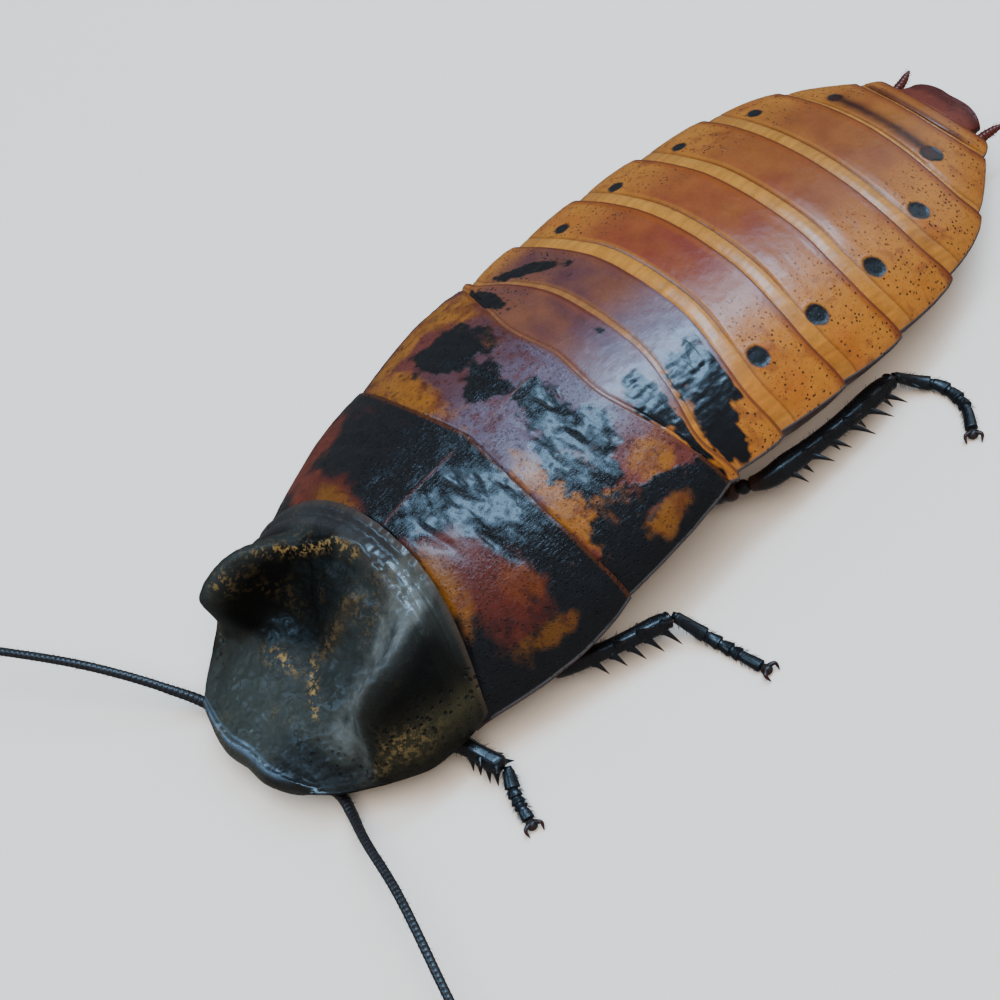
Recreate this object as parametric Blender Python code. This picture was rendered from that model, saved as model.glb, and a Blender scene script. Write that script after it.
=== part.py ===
"""Male Madagascar hissing cockroach at life size, resting on its belly and its six feet.

The insect faces -Y, its left side is +X, up is +Z and the floor is z = 0. Sizes are in millimetres and turn
into metres where a mesh is made. A station counts backwards from the middle of the shield's front rim, and u
runs across the body from -1 at the right margin to 1 at the left one.
"""
import bpy
import numpy as np

MM = 0.001
GAP = 0.3                 # between neighbouring pieces
ORIGIN_STATION = 43.5     # this station of the body lies over the origin
FLAT_SHARE = 0.5          # share of the belly's width that is flat
SPINE_SEED = 11

# The trunk, by station: half width, height of the side margins and of the back, and how square the arch is
TRUNK_STATIONS = [11.5, 16.5, 20.5, 24.5, 34.5, 42.5, 48.5, 54.5, 60.5, 65.5, 69.5, 72.0]
HALF_WIDTHS = [11.4, 12.6, 13.3, 13.6, 13.5, 13.5, 13.6, 13.2, 12.1, 9.9, 6.8, 4.9]
MARGIN_HEIGHTS = [3.9, 4.5, 5.3, 6.3, 7.8, 7.4, 6.8, 6.2, 5.9, 5.6, 5.2, 4.9]
BACK_HEIGHTS = [11.4, 12.3, 12.6, 12.8, 13.4, 13.0, 12.4, 11.4, 10.0, 8.7, 7.3, 6.2]
ARCH_POWERS = [0.68, 0.68, 0.69, 0.70, 0.68, 0.68, 0.68, 0.68, 0.68, 0.68, 0.68, 0.68]
BELLY_STATIONS = [11.5, 24.5, 33.0, 37.0, 40.0, 42.3, 60.5, 65.5, 69.5, 72.0]
BELLY_HEIGHTS = [4.2, 4.2, 3.9, 3.0, 1.2, 0.0, 0.0, 0.5, 1.3, 1.8]
MARGIN_THICKNESS = 0.5

# Hind margins of the plates: stations at these shares of the half width
MARGIN_SHARES = [0.0, 0.35, 0.6, 0.83, 1.0]
HIND_MARGINS = {
    "pronotum": [15.4, 15.1, 14.4, 13.2, 12.0],
    "mesonotum": [24.15, 23.65, 23.6, 23.8, 24.1],
    "metanotum": [32.5, 32.2, 33.0, 33.9, 34.6],
    "abdomen_1": [36.6, 36.4, 35.6, 34.8, 35.5],
    "abdomen_2": [41.0, 40.8, 40.1, 39.6, 39.9],
    "abdomen_3": [46.55, 46.4, 46.0, 45.8, 46.2],
    "abdomen_4": [52.25, 52.2, 51.9, 51.9, 52.4],
    "abdomen_5": [58.4, 58.35, 58.3, 58.4, 59.0],
    "abdomen_6": [64.6, 64.5, 64.4, 64.5, 65.1],
    "abdomen_7": [68.6, 68.7, 69.0, 69.5, 70.1],
    "abdomen_8": [70.5, 70.6, 70.9, 71.3, 71.7],
}
PLATE_ROWS = [0.0, 0.2, 0.26, 0.32, 0.6, 0.88, 1.0]      # shares of a plate's length
PLATE_RELIEF = [-0.30, -0.20, -0.34, 0.02, 0.12, 0.16, 0.10]
PLATE_FLARE = [-0.20, -0.02, 0.03, 0.08, 0.22, 0.34, 0.30]    # widens the half width
THORAX_RELIEF = [-0.20, 0.0, 0.02, 0.05, 0.12, 0.16, 0.10]
THORAX_FLARE = [-0.15, 0.12, 0.18, 0.24, 0.42, 0.34, 0.10]
BODY_COLUMNS = 19

# Bend of the body: the thorax turns a little to the insect's left, the tail less so
THORAX_HINGE, THORAX_YAW = 34.5, np.radians(4.29)
TAIL_HINGE, TAIL_YAW = 38.5, np.radians(2.4)
BEND_LENGTH = 34.0

# The shield, by the share of its length from front rim to hind margin
SHIELD_SHARES = [0.0, 0.1, 0.25, 0.4, 0.55, 0.7, 0.85, 1.0]
SHIELD_HALF_WIDTHS = [5.5, 6.7, 8.1, 9.4, 10.5, 11.0, 11.3, 11.3]
SHIELD_RIM_HEIGHTS = [3.4, 3.2, 3.1, 3.2, 3.4, 3.7, 4.1, 4.5]
SHIELD_DISC_HEIGHTS = [3.4, 4.0, 4.9, 6.2, 8.2, 10.2, 11.8, 12.6]
SHIELD_ARCH_POWERS = [1.1, 1.1, 1.1, 1.0, 0.86, 0.76, 0.71, 0.69]
SHIELD_FRONT = [-0.75, -0.85, -0.5, 0.05, 0.5]      # front margin at MARGIN_SHARES
SHIELD_THICKNESS = 0.7
SHIELD_ROWS = [0, 0.03, 0.09, 0.16, 0.21, 0.25, 0.29, 0.33, 0.39, 0.46, 0.54, 0.63, 0.73, 0.83, 0.92, 1]
SHIELD_COLUMNS = 27
RIM_BEAD = 0.55
HORN_CREST = [(3.5, 7.2), (6.0, 7.1), (8.0, 6.8), (12.0, 5.8)]      # station, distance from the midline
HORN_WIDTHS = (1.8, 2.4)      # towards the middle, towards the side
HORN_HEIGHT = 5.0
HORN_LEAN = 0.28
HORN_STATIONS = [3.3, 4.2, 5.0, 5.7, 6.7, 8.0, 9.5, 11.0, 12.5, 14.0]
HORN_PROFILE = [0.0, 0.1, 0.45, 0.85, 1.0, 0.97, 0.75, 0.45, 0.12, 0.0]
HOLLOW_DEPTH = 1.6
HOLLOW_STATION = 7.8
HOLLOW_SIZE = 2.8

BLACK = (0.012, 0.012, 0.014)
SHIELD_BLACK = (0.020, 0.021, 0.018)
DARK_BROWN = (0.055, 0.028, 0.018)
MAROON = (0.22, 0.075, 0.04)
AMBER = (0.50, 0.22, 0.055)
EYE_BLACK = (0.008, 0.008, 0.010)

PLATE_THICKNESS = 0.8
THORAX_REACH = 0.70
THORAX_FLANK = 0.45
LID_GAP = 0.42             # under a plate, measured straight down
CORE_COLUMNS = 13
CORE_ROWS = [0.0, 0.33, 0.67, 1.0]
RING_COLOURS = {"abdomen_1": MAROON, "abdomen_2": MAROON, "abdomen_7": MAROON, "abdomen_8": DARK_BROWN}

# Head, by station from the crown backwards
NECK_STATION = 10.4
HEAD_STATIONS = [2.3, 2.8, 3.8, 5.2, 7.0, 8.6, 9.6, 10.0]
HEAD_HALF_WIDTHS = [1.2, 2.3, 3.1, 3.6, 3.6, 3.1, 2.4, 1.7]
HEAD_TOPS = [2.1, 2.5, 2.8, 3.2, 3.6, 3.9, 3.9, 3.7]
HEAD_BOTTOMS = [1.6, 1.2, 0.9, 0.7, 0.6, 0.9, 1.5, 2.1]
HEAD_EDGE = 0.15
EYE_STATION = 4.6
EYE_HEIGHT = 2.1
EYE_SIZES = (0.95, 1.25, 0.95)
PALP_PATH = [(2.5, 8.3, 0.45), (3.6, 7.0, 0.5), (4.4, 5.0, 0.55), (4.3, 3.2, 0.5)]
PALP_RADII = [0.32, 0.28, 0.36, 0.26]

# Legs. Coxae are given by distance from the midline, station and height; the rest by x, y and z.
# A row of spines is its angle round the shank, the share where it starts, its count and its length; the angle
# is 0 straight outwards, 90 straight up and 180 towards the body.
COXA_WIDTHS = [1.1, 1.6, 1.6, 1.4, 1.1, 0.8]
COXA_HEIGHTS = [0.5, 0.7, 0.7, 0.65, 0.55, 0.4]
FEMUR_WIDTHS = [0.6, 0.95, 1.15, 1.2, 1.15, 1.0, 0.85, 0.7]
FEMUR_HEIGHTS = [0.5, 0.7, 0.8, 0.85, 0.85, 0.8, 0.75, 0.65]
TIBIA_RADII = [0.5, 0.68, 0.7, 0.64, 0.6, 0.6, 0.62, 0.66, 0.68, 0.55]
TIBIA_GROWTH = [0.0, 0.5, 1, 1, 1, 1, 1, 1, 0.8, 0.3]      # where the hind pair's greater girth is felt
TARSUS_RADII = [0.4, 0.5, 0.55, 0.42, 0.52, 0.4, 0.5, 0.38, 0.38, 0.42, 0.4]
PAD_SIZES = np.array([0.5, 0.5, 0.4])
CLAW_LENGTH = 1.15
CLAW_RISE = 0.55
CLAW_RADII = [0.22, 0.17, 0.05]
SPINE_THICKNESS = 0.5
SPINE_LAST = 0.88          # share of the shank where every row ends
SPINE_SCATTER = 8          # degrees
SPINE_LEAN = 0.6           # towards the foot, for a spine that stands out by 1
SPINE_GROWTH = (0.7, 0.3)  # length of the first spine, and what the last one has more
SPINE_SPREAD = 0.1
SPINE_ROOT = 0.35          # depth of the root, as a share of the shank's radius
LOWEST_TIP = 0.12
LEGS = {
    "fore": {"girth": 1.0, "coxa": [(5.0, 10.8, 3.6), (3.9, 12.5, 3.15), (2.7, 14.3, 2.85)],
             "spines": [(-35, 0.45, 4, 1.3), (215, 0.5, 3, 1.2), (40, 0.6, 2, 0.9)]},
    "mid": {"girth": 1.0, "coxa": [(6.2, 16.6, 3.8), (4.7, 19.2, 3.3), (3.0, 21.9, 2.9)],
            "spines": [(-30, 0.3, 5, 1.9), (215, 0.35, 4, 1.4), (55, 0.5, 3, 1.4)]},
    "hind": {"girth": 1.22, "coxa": [(6.4, 26.4, 3.8), (4.9, 29.2, 3.2), (3.2, 31.8, 2.8)],
             "spines": [(-10, 0.2, 6, 2.4), (-60, 0.28, 4, 2.0), (55, 0.3, 5, 1.8), (215, 0.35, 4, 1.4)]},
    "fore_left": {"femur": [(4.4, -28.5, 1.6), (7.0, -30.6, 1.6), (8.9, -33.1, 2.3)],
                  "tibia": [(9.9, -33.4, 2.4), (11.7, -32.9, 1.95), (14.1, -32.3, 1.5)],
                  "tarsus": [(15.9, -33.1, 0.75), (17.6, -33.6, 0.38)]},
    "mid_left": {"femur": [(4.6, -20.7, 1.6), (8.4, -22.9, 1.7), (11.1, -26.2, 2.7)],
                 "tibia": [(12.2, -25.6, 3.0), (12.6, -24.5, 3.0), (13.6, -22.0, 2.8), (15.0, -17.0, 2.1)],
                 "tarsus": [(17.6, -15.9, 0.7), (21.5, -15.2, 0.38)]},
    "hind_left": {"femur": [(4.6, -11.0, 1.6), (8.4, -9.2, 1.8), (12.1, -6.8, 3.5)],
                  "tibia": [(12.5, -6.3, 3.7), (13.2, -5.3, 3.9), (13.5, -3.0, 3.7), (13.7, 0.4, 3.3),
                            (13.5, 7.8, 2.2)],
                  "tarsus": [(14.3, 9.3, 1.1), (15.9, 10.4, 0.6), (18.1, 10.2, 0.4), (19.9, 8.8, 0.38)]},
    "fore_right": {"femur": [(-3.6, -28.5, 1.6), (-6.2, -30.6, 1.6), (-8.0, -33.1, 2.3)],
                   "tibia": [(-9.0, -33.4, 2.4), (-10.4, -32.8, 1.95), (-11.7, -31.2, 1.6)],
                   "tarsus": [(-12.6, -29.6, 0.7), (-13.0, -27.4, 0.38)]},
    "mid_right": {"femur": [(-4.0, -20.7, 1.6), (-7.9, -22.0, 1.7), (-11.0, -24.3, 2.7)],
                  "tibia": [(-12.2, -23.8, 3.0), (-12.6, -22.7, 3.0), (-13.6, -15.2, 2.1)],
                  "tarsus": [(-14.5, -13.0, 0.7), (-15.1, -8.6, 0.38)]},
    "hind_right": {"femur": [(-4.2, -11.0, 1.6), (-8.1, -9.2, 1.8), (-11.7, -6.8, 3.4)],
                   "tibia": [(-12.1, -6.3, 3.6), (-12.8, -5.2, 3.8), (-13.2, -3.0, 3.6), (-13.4, 2.0, 3.0),
                             (-13.5, 7.8, 2.2)],
                   "tarsus": [(-14.1, 9.6, 0.9), (-14.9, 11.2, 0.4), (-15.6, 14.8, 0.38)]},
}

# Antennae: the scape, then points that the whip runs through
SCAPE_RADII = [0.4, 0.55, 0.55, 0.45, 0.5]
WHIP_SHARES = [0.0, 0.12, 0.5, 0.92, 1.0]
WHIP_RADII = [0.46, 0.34, 0.3, 0.25, 0.14]
WHIP_STEPS = 12            # rings in each of the whip's three lengths
ANTENNAE = {
    "left": ([(3.5, -41.0, 1.7), (4.5, -41.2, 1.55), (5.4, -41.1, 1.45)],
             [(7.3, -41.0, 1.45), (8.8, -41.4, 1.7), (11.0, -42.1, 2.6), (16.4, -43.4, 4.2),
              (24.5, -46.0, 4.8), (33.0, -48.6, 5.0), (41.0, -50.6, 4.2), (48.0, -51.8, 2.6)]),
    "right": ([(-1.6, -41.6, 1.7), (-2.6, -42.1, 1.55), (-3.5, -42.4, 1.45)],
              [(-5.2, -42.7, 1.6), (-8.0, -44.1, 2.7), (-11.7, -46.4, 4.2), (-18.0, -50.6, 5.3),
               (-27.0, -57.0, 5.4), (-35.0, -62.5, 4.2), (-41.0, -66.5, 2.6)]),
}

# Tail: half widths front and back and of the ring ahead, top heights front and back
SUPRA_ANAL_WIDTHS = (3.7, 3.45, 5.3)
SUPRA_ANAL_TOPS = (5.4, 4.4)
SUBGENITAL_WIDTHS = (3.4, 2.4, 5.3)
SUBGENITAL_TOPS = (2.6, 2.6)
TAIL_NOTCH = 0.1
NOTCH_WIDTH = 0.25
TAIL_ROUND = 0.5
TAIL_ARCH = 0.7
CERCUS_PATH = [(4.2, 71.75, 4.3), (4.35, 72.8, 4.4), (4.75, 74.3, 4.6)]
CERCUS_RADII = [0.35, 0.42, 0.38, 0.3, 0.08]


def smooth_curve(at, stations, values):
    """Cubic Hermite curve through the stations, its slopes taken from the neighbours."""
    stations = np.array(stations, float)
    values = np.array(values, float)
    slopes = np.gradient(values, stations, axis=0)
    at = np.clip(np.asarray(at, float), stations[0], stations[-1])
    i = np.clip(np.searchsorted(stations, at, side="right") - 1, 0, len(stations) - 2)
    step = stations[i + 1] - stations[i]
    t = (at - stations[i]) / step
    if values.ndim > 1:
        t, step = t[..., None], step[..., None]
    near = (1 + 2 * t) * (1 - t) ** 2 * values[i] + t * (1 - t) ** 2 * step * slopes[i]
    far = t ** 2 * (3 - 2 * t) * values[i + 1] + t ** 2 * (t - 1) * step * slopes[i + 1]
    return near + far


def trunk(station, values):
    return smooth_curve(station, TRUNK_STATIONS, values)


def keel(station):
    """Height of the belly's middle, which rests flat on the floor under most of the abdomen."""
    return np.maximum(smooth_curve(station, BELLY_STATIONS, BELLY_HEIGHTS), 0)


def margin(name, u):
    return smooth_curve(np.abs(u), MARGIN_SHARES, HIND_MARGINS[name])


def pose(x, station, z):
    """Bends the body sideways and puts the origin under its belly."""
    ahead = np.clip(THORAX_HINGE - station, 0, None)
    behind = np.clip(station - TAIL_HINGE, 0, None)
    x = x + THORAX_YAW * ahead ** 2 / 2 / BEND_LENGTH
    station = station + THORAX_YAW * ahead / BEND_LENGTH * x
    x = x + TAIL_YAW * behind ** 2 / 2 / BEND_LENGTH
    station = station - TAIL_YAW * behind / BEND_LENGTH * x
    return np.stack([x, station - ORIGIN_STATION, z], -1)


def material(name, colour, roughness):
    made = bpy.data.materials.new(name)
    made.use_nodes = True
    shader = made.node_tree.nodes["Principled BSDF"]
    shader.inputs["Base Color"].default_value = (*colour, 1.0)
    shader.inputs["Roughness"].default_value = roughness
    made.diffuse_color = (*colour, 1.0)
    return made


def add_object(name, points, faces, colour, roughness):
    """One closed mesh in metres, shaded smooth with its sharp edges kept."""
    mesh = bpy.data.meshes.new(name)
    mesh.from_pydata((np.asarray(points, float) * MM).tolist(), [], faces)
    mesh.update()
    mesh.shade_smooth()
    mesh.set_sharp_from_angle(angle=np.radians(35))
    mesh.materials.append(material(name, colour, roughness))
    made = bpy.data.objects.new(name, mesh)
    bpy.context.scene.collection.objects.link(made)
    return made


def grid_faces(rows, columns, first=0, flip=False):
    """Triangles of a grid of points, facing up where rows run backwards and columns to the left. The
    diagonals of its cells are mirrored about the middle column."""
    i, j = np.indices((rows - 1, columns - 1)).reshape(2, -1)
    a = first + i * columns + j
    b, c, d = a + 1, a + columns + 1, a + columns
    right = (j < columns // 2)[:, None]
    faces = np.concatenate([np.where(right, np.stack([a, b, c], -1), np.stack([a, b, d], -1)),
                            np.where(right, np.stack([a, c, d], -1), np.stack([b, c, d], -1))])
    return (faces[:, ::-1] if flip else faces).tolist()


def slab(top, bottom):
    """Closed solid between two grids of points with the same rows and columns, walls all round."""
    rows, columns = top.shape[:2]
    count = rows * columns
    points = np.concatenate([top.reshape(-1, 3), bottom.reshape(-1, 3)])
    ring = [j for j in range(columns)]
    ring += [i * columns + columns - 1 for i in range(1, rows)]
    ring += [(rows - 1) * columns + j for j in range(columns - 2, -1, -1)]
    ring += [i * columns for i in range(rows - 2, 0, -1)]
    walls = [[a, a + count, b + count, b] for a, b in zip(ring, ring[1:] + ring[:1])]
    return points, grid_faces(rows, columns) + grid_faces(rows, columns, count, True) + walls


def tube(path, half_widths, half_heights, sides, floor=None, start=None):
    """Closed tube along a path, its oval section upright, with flat ends; start turns its first end."""
    path = np.asarray(path, float)
    along = np.gradient(path, axis=0)
    if start is not None:
        along[0] = start
    along /= np.linalg.norm(along, axis=1)[:, None]
    across = np.cross(along, [0, 0, 1.0])
    across /= np.linalg.norm(across, axis=1)[:, None]
    over = np.cross(across, along)
    turn = (np.arange(sides) + 0.5) * 2 * np.pi / sides
    half_widths = np.broadcast_to(half_widths, len(path))[:, None, None]
    half_heights = np.broadcast_to(half_heights, len(path))[:, None, None]
    points = (path[:, None] + across[:, None] * half_widths * np.cos(turn)[None, :, None]
              + over[:, None] * half_heights * np.sin(turn)[None, :, None])
    if floor is not None:
        points[..., 2] = np.maximum(points[..., 2], floor)
    faces = []
    for i in range(len(path) - 1):
        for j in range(sides):
            k = (j + 1) % sides
            faces.append([i * sides + j, (i + 1) * sides + j, (i + 1) * sides + k, i * sides + k])
    faces.append(list(range(sides)))
    faces.append([(len(path) - 1) * sides + j for j in range(sides - 1, -1, -1)])
    return points.reshape(-1, 3), faces


def spine(root, tip, thickness, sides=4):
    """Pointed spine: a base ring, a ring past the middle and a tip."""
    root, tip = np.asarray(root, float), np.asarray(tip, float)
    along = (tip - root) / np.linalg.norm(tip - root)
    across = np.cross(along, [0.3, 0.2, 1.0])
    across /= np.linalg.norm(across)
    over = np.cross(across, along)
    turn = np.arange(sides) * 2 * np.pi / sides
    ring = across * np.cos(turn)[:, None] + over * np.sin(turn)[:, None]
    points = np.concatenate([root + ring * thickness / 2, root + (tip - root) * 0.6 + ring * thickness * 0.3,
                             [tip]])
    faces = [list(range(sides))]
    for j in range(sides):
        k = (j + 1) % sides
        faces.append([j, sides + j, sides + k, k])
        faces.append([sides + j, 2 * sides, sides + k])
    return points, faces


def fuse(name, pieces, colour, roughness):
    """Joins closed meshes into one by a single Boolean union."""
    body = add_object(name, *pieces[0], colour, roughness)
    others = bpy.data.collections.new(name + "_pieces")
    bpy.context.scene.collection.children.link(others)
    for number, (points, faces) in enumerate(pieces[1:]):
        mesh = bpy.data.meshes.new(f"{name}_{number}")
        mesh.from_pydata((np.asarray(points, float) * MM).tolist(), [], faces)
        others.objects.link(bpy.data.objects.new(mesh.name, mesh))
    union = body.modifiers.new("union", "BOOLEAN")
    union.operation = "UNION"
    union.operand_type = "COLLECTION"
    union.collection = others
    replace_mesh(body)
    for piece in list(others.objects):
        bpy.data.objects.remove(piece)
    bpy.data.collections.remove(others)


def cut(name, piece, cutter, colour, roughness):
    """A closed mesh with another one taken away from it."""
    body = add_object(name, *piece, colour, roughness)
    mesh = bpy.data.meshes.new(name + "_cutter")
    mesh.from_pydata((np.asarray(cutter[0], float) * MM).tolist(), [], cutter[1])
    tool = bpy.data.objects.new(mesh.name, mesh)
    bpy.context.scene.collection.objects.link(tool)
    away = body.modifiers.new("cut", "BOOLEAN")
    away.operation = "DIFFERENCE"
    away.object = tool
    replace_mesh(body)
    bpy.data.objects.remove(tool)


def replace_mesh(body):
    """Applies an object's modifiers and keeps the largest closed surface."""
    made = bpy.data.meshes.new_from_object(body.evaluated_get(bpy.context.evaluated_depsgraph_get()))
    body.modifiers.clear()
    body.data = largest_surface(made, body.name)
    body.data.materials.append(bpy.data.materials[body.name])


def largest_surface(mesh, name):
    """Copy of a mesh with only its largest connected surface."""
    count = len(mesh.vertices)
    group = np.arange(count)
    edges = np.array([edge.vertices[:] for edge in mesh.edges])
    while True:
        low = np.minimum(group[edges[:, 0]], group[edges[:, 1]])
        before = group.copy()
        np.minimum.at(group, edges[:, 0], low)
        np.minimum.at(group, edges[:, 1], low)
        if np.array_equal(before, group):
            break
    keep = group == np.bincount(group).argmax()
    number = np.cumsum(keep) - 1
    points = np.array([vertex.co[:] for vertex in mesh.vertices])[keep]
    faces = [[int(number[v]) for v in face.vertices] for face in mesh.polygons if keep[face.vertices[0]]]
    made = bpy.data.meshes.new(name)
    made.from_pydata(points.tolist(), [], faces)
    made.update()
    made.shade_smooth()
    made.set_sharp_from_angle(angle=np.radians(35))
    return made


# Trunk

def column_shares(count, reach=1.0):
    """Shares of the half width, closer together towards the margins."""
    return np.sin(np.linspace(-np.pi / 2, np.pi / 2, count)) * reach


def back(u, station, relief, flare):
    """Distance from the midline and height of the back, raised by the relief and widened by the flare."""
    low = trunk(station, MARGIN_HEIGHTS)
    high = trunk(station, BACK_HEIGHTS) + relief
    width = trunk(station, HALF_WIDTHS) + flare
    arch = np.clip(1 - u ** 2, 0, 1) ** trunk(station, ARCH_POWERS)
    return u * width, low + (high - low) * arch


def belly(u, station):
    """Height of the belly: flat in its middle, curving up to the side margins."""
    low = keel(station)
    high = trunk(station, MARGIN_HEIGHTS) - MARGIN_THICKNESS
    rise = np.clip((np.abs(u) - FLAT_SHARE) / (1 - FLAT_SHARE), 0, 1)
    return low + (high - low) * rise ** 2.2


def plate_grid(before, name, relief, flare, columns=BODY_COLUMNS, rows=PLATE_ROWS, reach=1.0):
    u = column_shares(columns, reach)
    first = margin(before, u) + GAP / 2
    last = margin(name, u) - GAP / 2
    station = first + (last - first) * np.array(rows)[:, None]
    u = np.broadcast_to(u, station.shape)
    relief, flare = (np.interp(rows, PLATE_ROWS, values)[:, None] for values in (relief, flare))
    x, z = back(u, station, relief, flare)
    return u, station, x, z


def abdomen_ring(before, name, colour):
    """One ring of the abdomen: the back plate, its raised hind part and the belly plate."""
    u, station, x, z = plate_grid(before, name, PLATE_RELIEF, PLATE_FLARE)
    top = pose(x, station, z)
    bottom = pose(x, station, belly(u, station))
    add_object(name, *slab(top, bottom), colour, 0.35)


def thorax_plate(before, name, colour, roughness):
    """Back plate of a thorax ring, arched over the trunk like a lid."""
    u, station, x, z = plate_grid(before, name, THORAX_RELIEF, THORAX_FLARE)
    add_object(name, *slab(pose(x, station, z), pose(x, station, z - PLATE_THICKNESS)), colour, roughness)


def thorax_core(name, u, station, x, lid):
    """Trunk under a thorax plate, narrower than the plate, so that the plate's margins overhang the legs."""
    low = keel(station)
    rise = (np.abs(u) / THORAX_REACH) ** 4 * THORAX_FLANK
    bottom = low + (lid - MARGIN_THICKNESS - low) * rise
    add_object(name, *slab(pose(x, station, lid), pose(x, station, bottom)), DARK_BROWN, 0.4)


def thorax_ring_core(before, plate, name):
    u, station, x, z = plate_grid(before, plate, THORAX_RELIEF, THORAX_FLARE, CORE_COLUMNS, CORE_ROWS,
                                  THORAX_REACH)
    thorax_core(name, u, station, x, z - PLATE_THICKNESS - LID_GAP)


# Shield over the head

def shield_station(u, share):
    front = smooth_curve(np.abs(u), MARGIN_SHARES, SHIELD_FRONT)
    hind = margin("pronotum", u) - GAP / 2
    return front + (hind - front) * share


def shield_dome(u, share):
    """Half width and height of the shield without its horns."""
    width = smooth_curve(share, SHIELD_SHARES, SHIELD_HALF_WIDTHS)
    rim = smooth_curve(share, SHIELD_SHARES, SHIELD_RIM_HEIGHTS)
    disc = smooth_curve(share, SHIELD_SHARES, SHIELD_DISC_HEIGHTS)
    power = smooth_curve(share, SHIELD_SHARES, SHIELD_ARCH_POWERS)
    return u * width, rim + (disc - rim) * np.clip(1 - u ** 2, 0, 1) ** power


def shield_features(x, station, u):
    """Horns, and the rim's bead less the hollow between the horns, as heights over the dome."""
    ridge = smooth_curve(station, HORN_STATIONS, HORN_PROFILE)
    aside = np.abs(x) - smooth_curve(station, *zip(*HORN_CREST))
    horns = HORN_HEIGHT * ridge * np.exp(-(aside / np.where(aside < 0, *HORN_WIDTHS)) ** 2)
    hollow = HOLLOW_DEPTH * np.exp(-(x / HOLLOW_SIZE) ** 2 - ((station - HOLLOW_STATION) / HOLLOW_SIZE) ** 2)
    bead = RIM_BEAD * np.exp(-((station - 0.5) / 0.7) ** 2) * np.clip(1.15 - np.abs(u), 0, 1)
    return horns, bead - hollow


def shield_underside(x, station, dome, relief):
    return pose(x, station, dome + np.minimum(relief, 0) - SHIELD_THICKNESS)


def pronotum():
    u = np.linspace(-1, 1, SHIELD_COLUMNS)
    share = np.array(SHIELD_ROWS, float)[:, None]
    station = shield_station(u, share)
    u, share = np.broadcast_arrays(u, share)
    x, dome = shield_dome(u, share)
    horns, relief = shield_features(x, station, u)
    top = pose(x, station - HORN_LEAN * horns, dome + horns + relief)
    add_object("pronotum", *slab(top, shield_underside(x, station, dome, relief)), SHIELD_BLACK, 0.45)


def prothorax():
    """Trunk under the hind part of the shield, from the neck to the middle ring."""
    u = column_shares(CORE_COLUMNS, THORAX_REACH)
    hind = margin("pronotum", u) - GAP / 2
    station = NECK_STATION + (hind - NECK_STATION) * np.array(CORE_ROWS)[:, None]
    u = np.broadcast_to(u, station.shape)
    front = smooth_curve(np.abs(u), MARGIN_SHARES, SHIELD_FRONT)
    x, dome = shield_dome(u, (station - front) / (hind - front))
    relief = shield_features(x, station, u)[1]
    thorax_core("prothorax", u, station, x, dome + np.minimum(relief, 0) - SHIELD_THICKNESS - LID_GAP)


# Head, eyes and palps under the shield

def head_surface(grow=0.0):
    """Flattened drop, face to the floor, crown under the shield's front; grow swells it on every side."""
    shares = column_shares(13)
    widths = np.array(HEAD_HALF_WIDTHS)[:, None] + grow
    middle = (np.array(HEAD_TOPS) + np.array(HEAD_BOTTOMS))[:, None] / 2
    depth = (np.array(HEAD_TOPS) - np.array(HEAD_BOTTOMS))[:, None] / 2
    rise = depth * np.sqrt(np.clip(1 - shares ** 2, 0, 1)) + HEAD_EDGE + grow
    x = shares * widths
    station = np.broadcast_to(np.array(HEAD_STATIONS)[:, None], x.shape)
    return slab(pose(x, station, middle + rise), pose(x, station, middle - rise))


def ball(centre, sizes, rings=7, sides=12):
    """Closed oval ball with a pole at each end of Z."""
    angle = np.linspace(0, np.pi, rings + 1)[1:-1, None]
    turn = np.arange(sides) * 2 * np.pi / sides
    around = np.stack([np.sin(angle) * np.cos(turn), np.sin(angle) * np.sin(turn),
                       np.cos(angle) + 0 * turn], -1)
    points = np.concatenate([[[0, 0, 1.0]], around.reshape(-1, 3), [[0, 0, -1.0]]]) * sizes + centre
    last = len(points) - 1
    faces = []
    for j in range(sides):
        k = (j + 1) % sides
        faces.append([0, 1 + j, 1 + k])
        faces.append([last, last - sides + k, last - sides + j])
        for i in range(rings - 2):
            a = 1 + i * sides
            faces.append([a + j, a + sides + j, a + sides + k, a + k])
    return points, faces


def eye(name, side):
    """Oval eye let into the side of the head, cut back to a gap from it."""
    width = smooth_curve(EYE_STATION, HEAD_STATIONS, HEAD_HALF_WIDTHS)
    centre = pose(side * width, np.float64(EYE_STATION), np.float64(EYE_HEIGHT))
    cut(name, ball(centre, EYE_SIZES), head_surface(GAP), EYE_BLACK, 0.15)


def palp(name, side):
    """Jointed feeler beside the mouth, bent forwards under the cheek."""
    points = [pose(side * x, np.float64(s), np.float64(z)) for x, s, z in PALP_PATH]
    path = smooth_path(points, 9)
    sizes = smooth_curve(np.linspace(0, 1, 9), [0, 0.35, 0.7, 1], PALP_RADII)
    add_object(name, *tube(path, sizes, sizes, 6), DARK_BROWN, 0.4)


# Limbs and antennae

def smooth_path(points, count):
    """Evenly shared stations on a curve through the points."""
    points = np.asarray(points, float)
    lengths = np.concatenate([[0], np.cumsum(np.linalg.norm(np.diff(points, axis=0), axis=1))])
    return smooth_curve(np.linspace(0, lengths[-1], count), lengths, points)


def onwards(path, distance=GAP):
    """The point a distance past the end of a path."""
    step = path[-1] - path[-2]
    return path[-1] + step / np.linalg.norm(step) * distance


def posed(side, points):
    return [pose(side * x, np.float64(s), np.float64(z)) for x, s, z in points]


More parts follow.
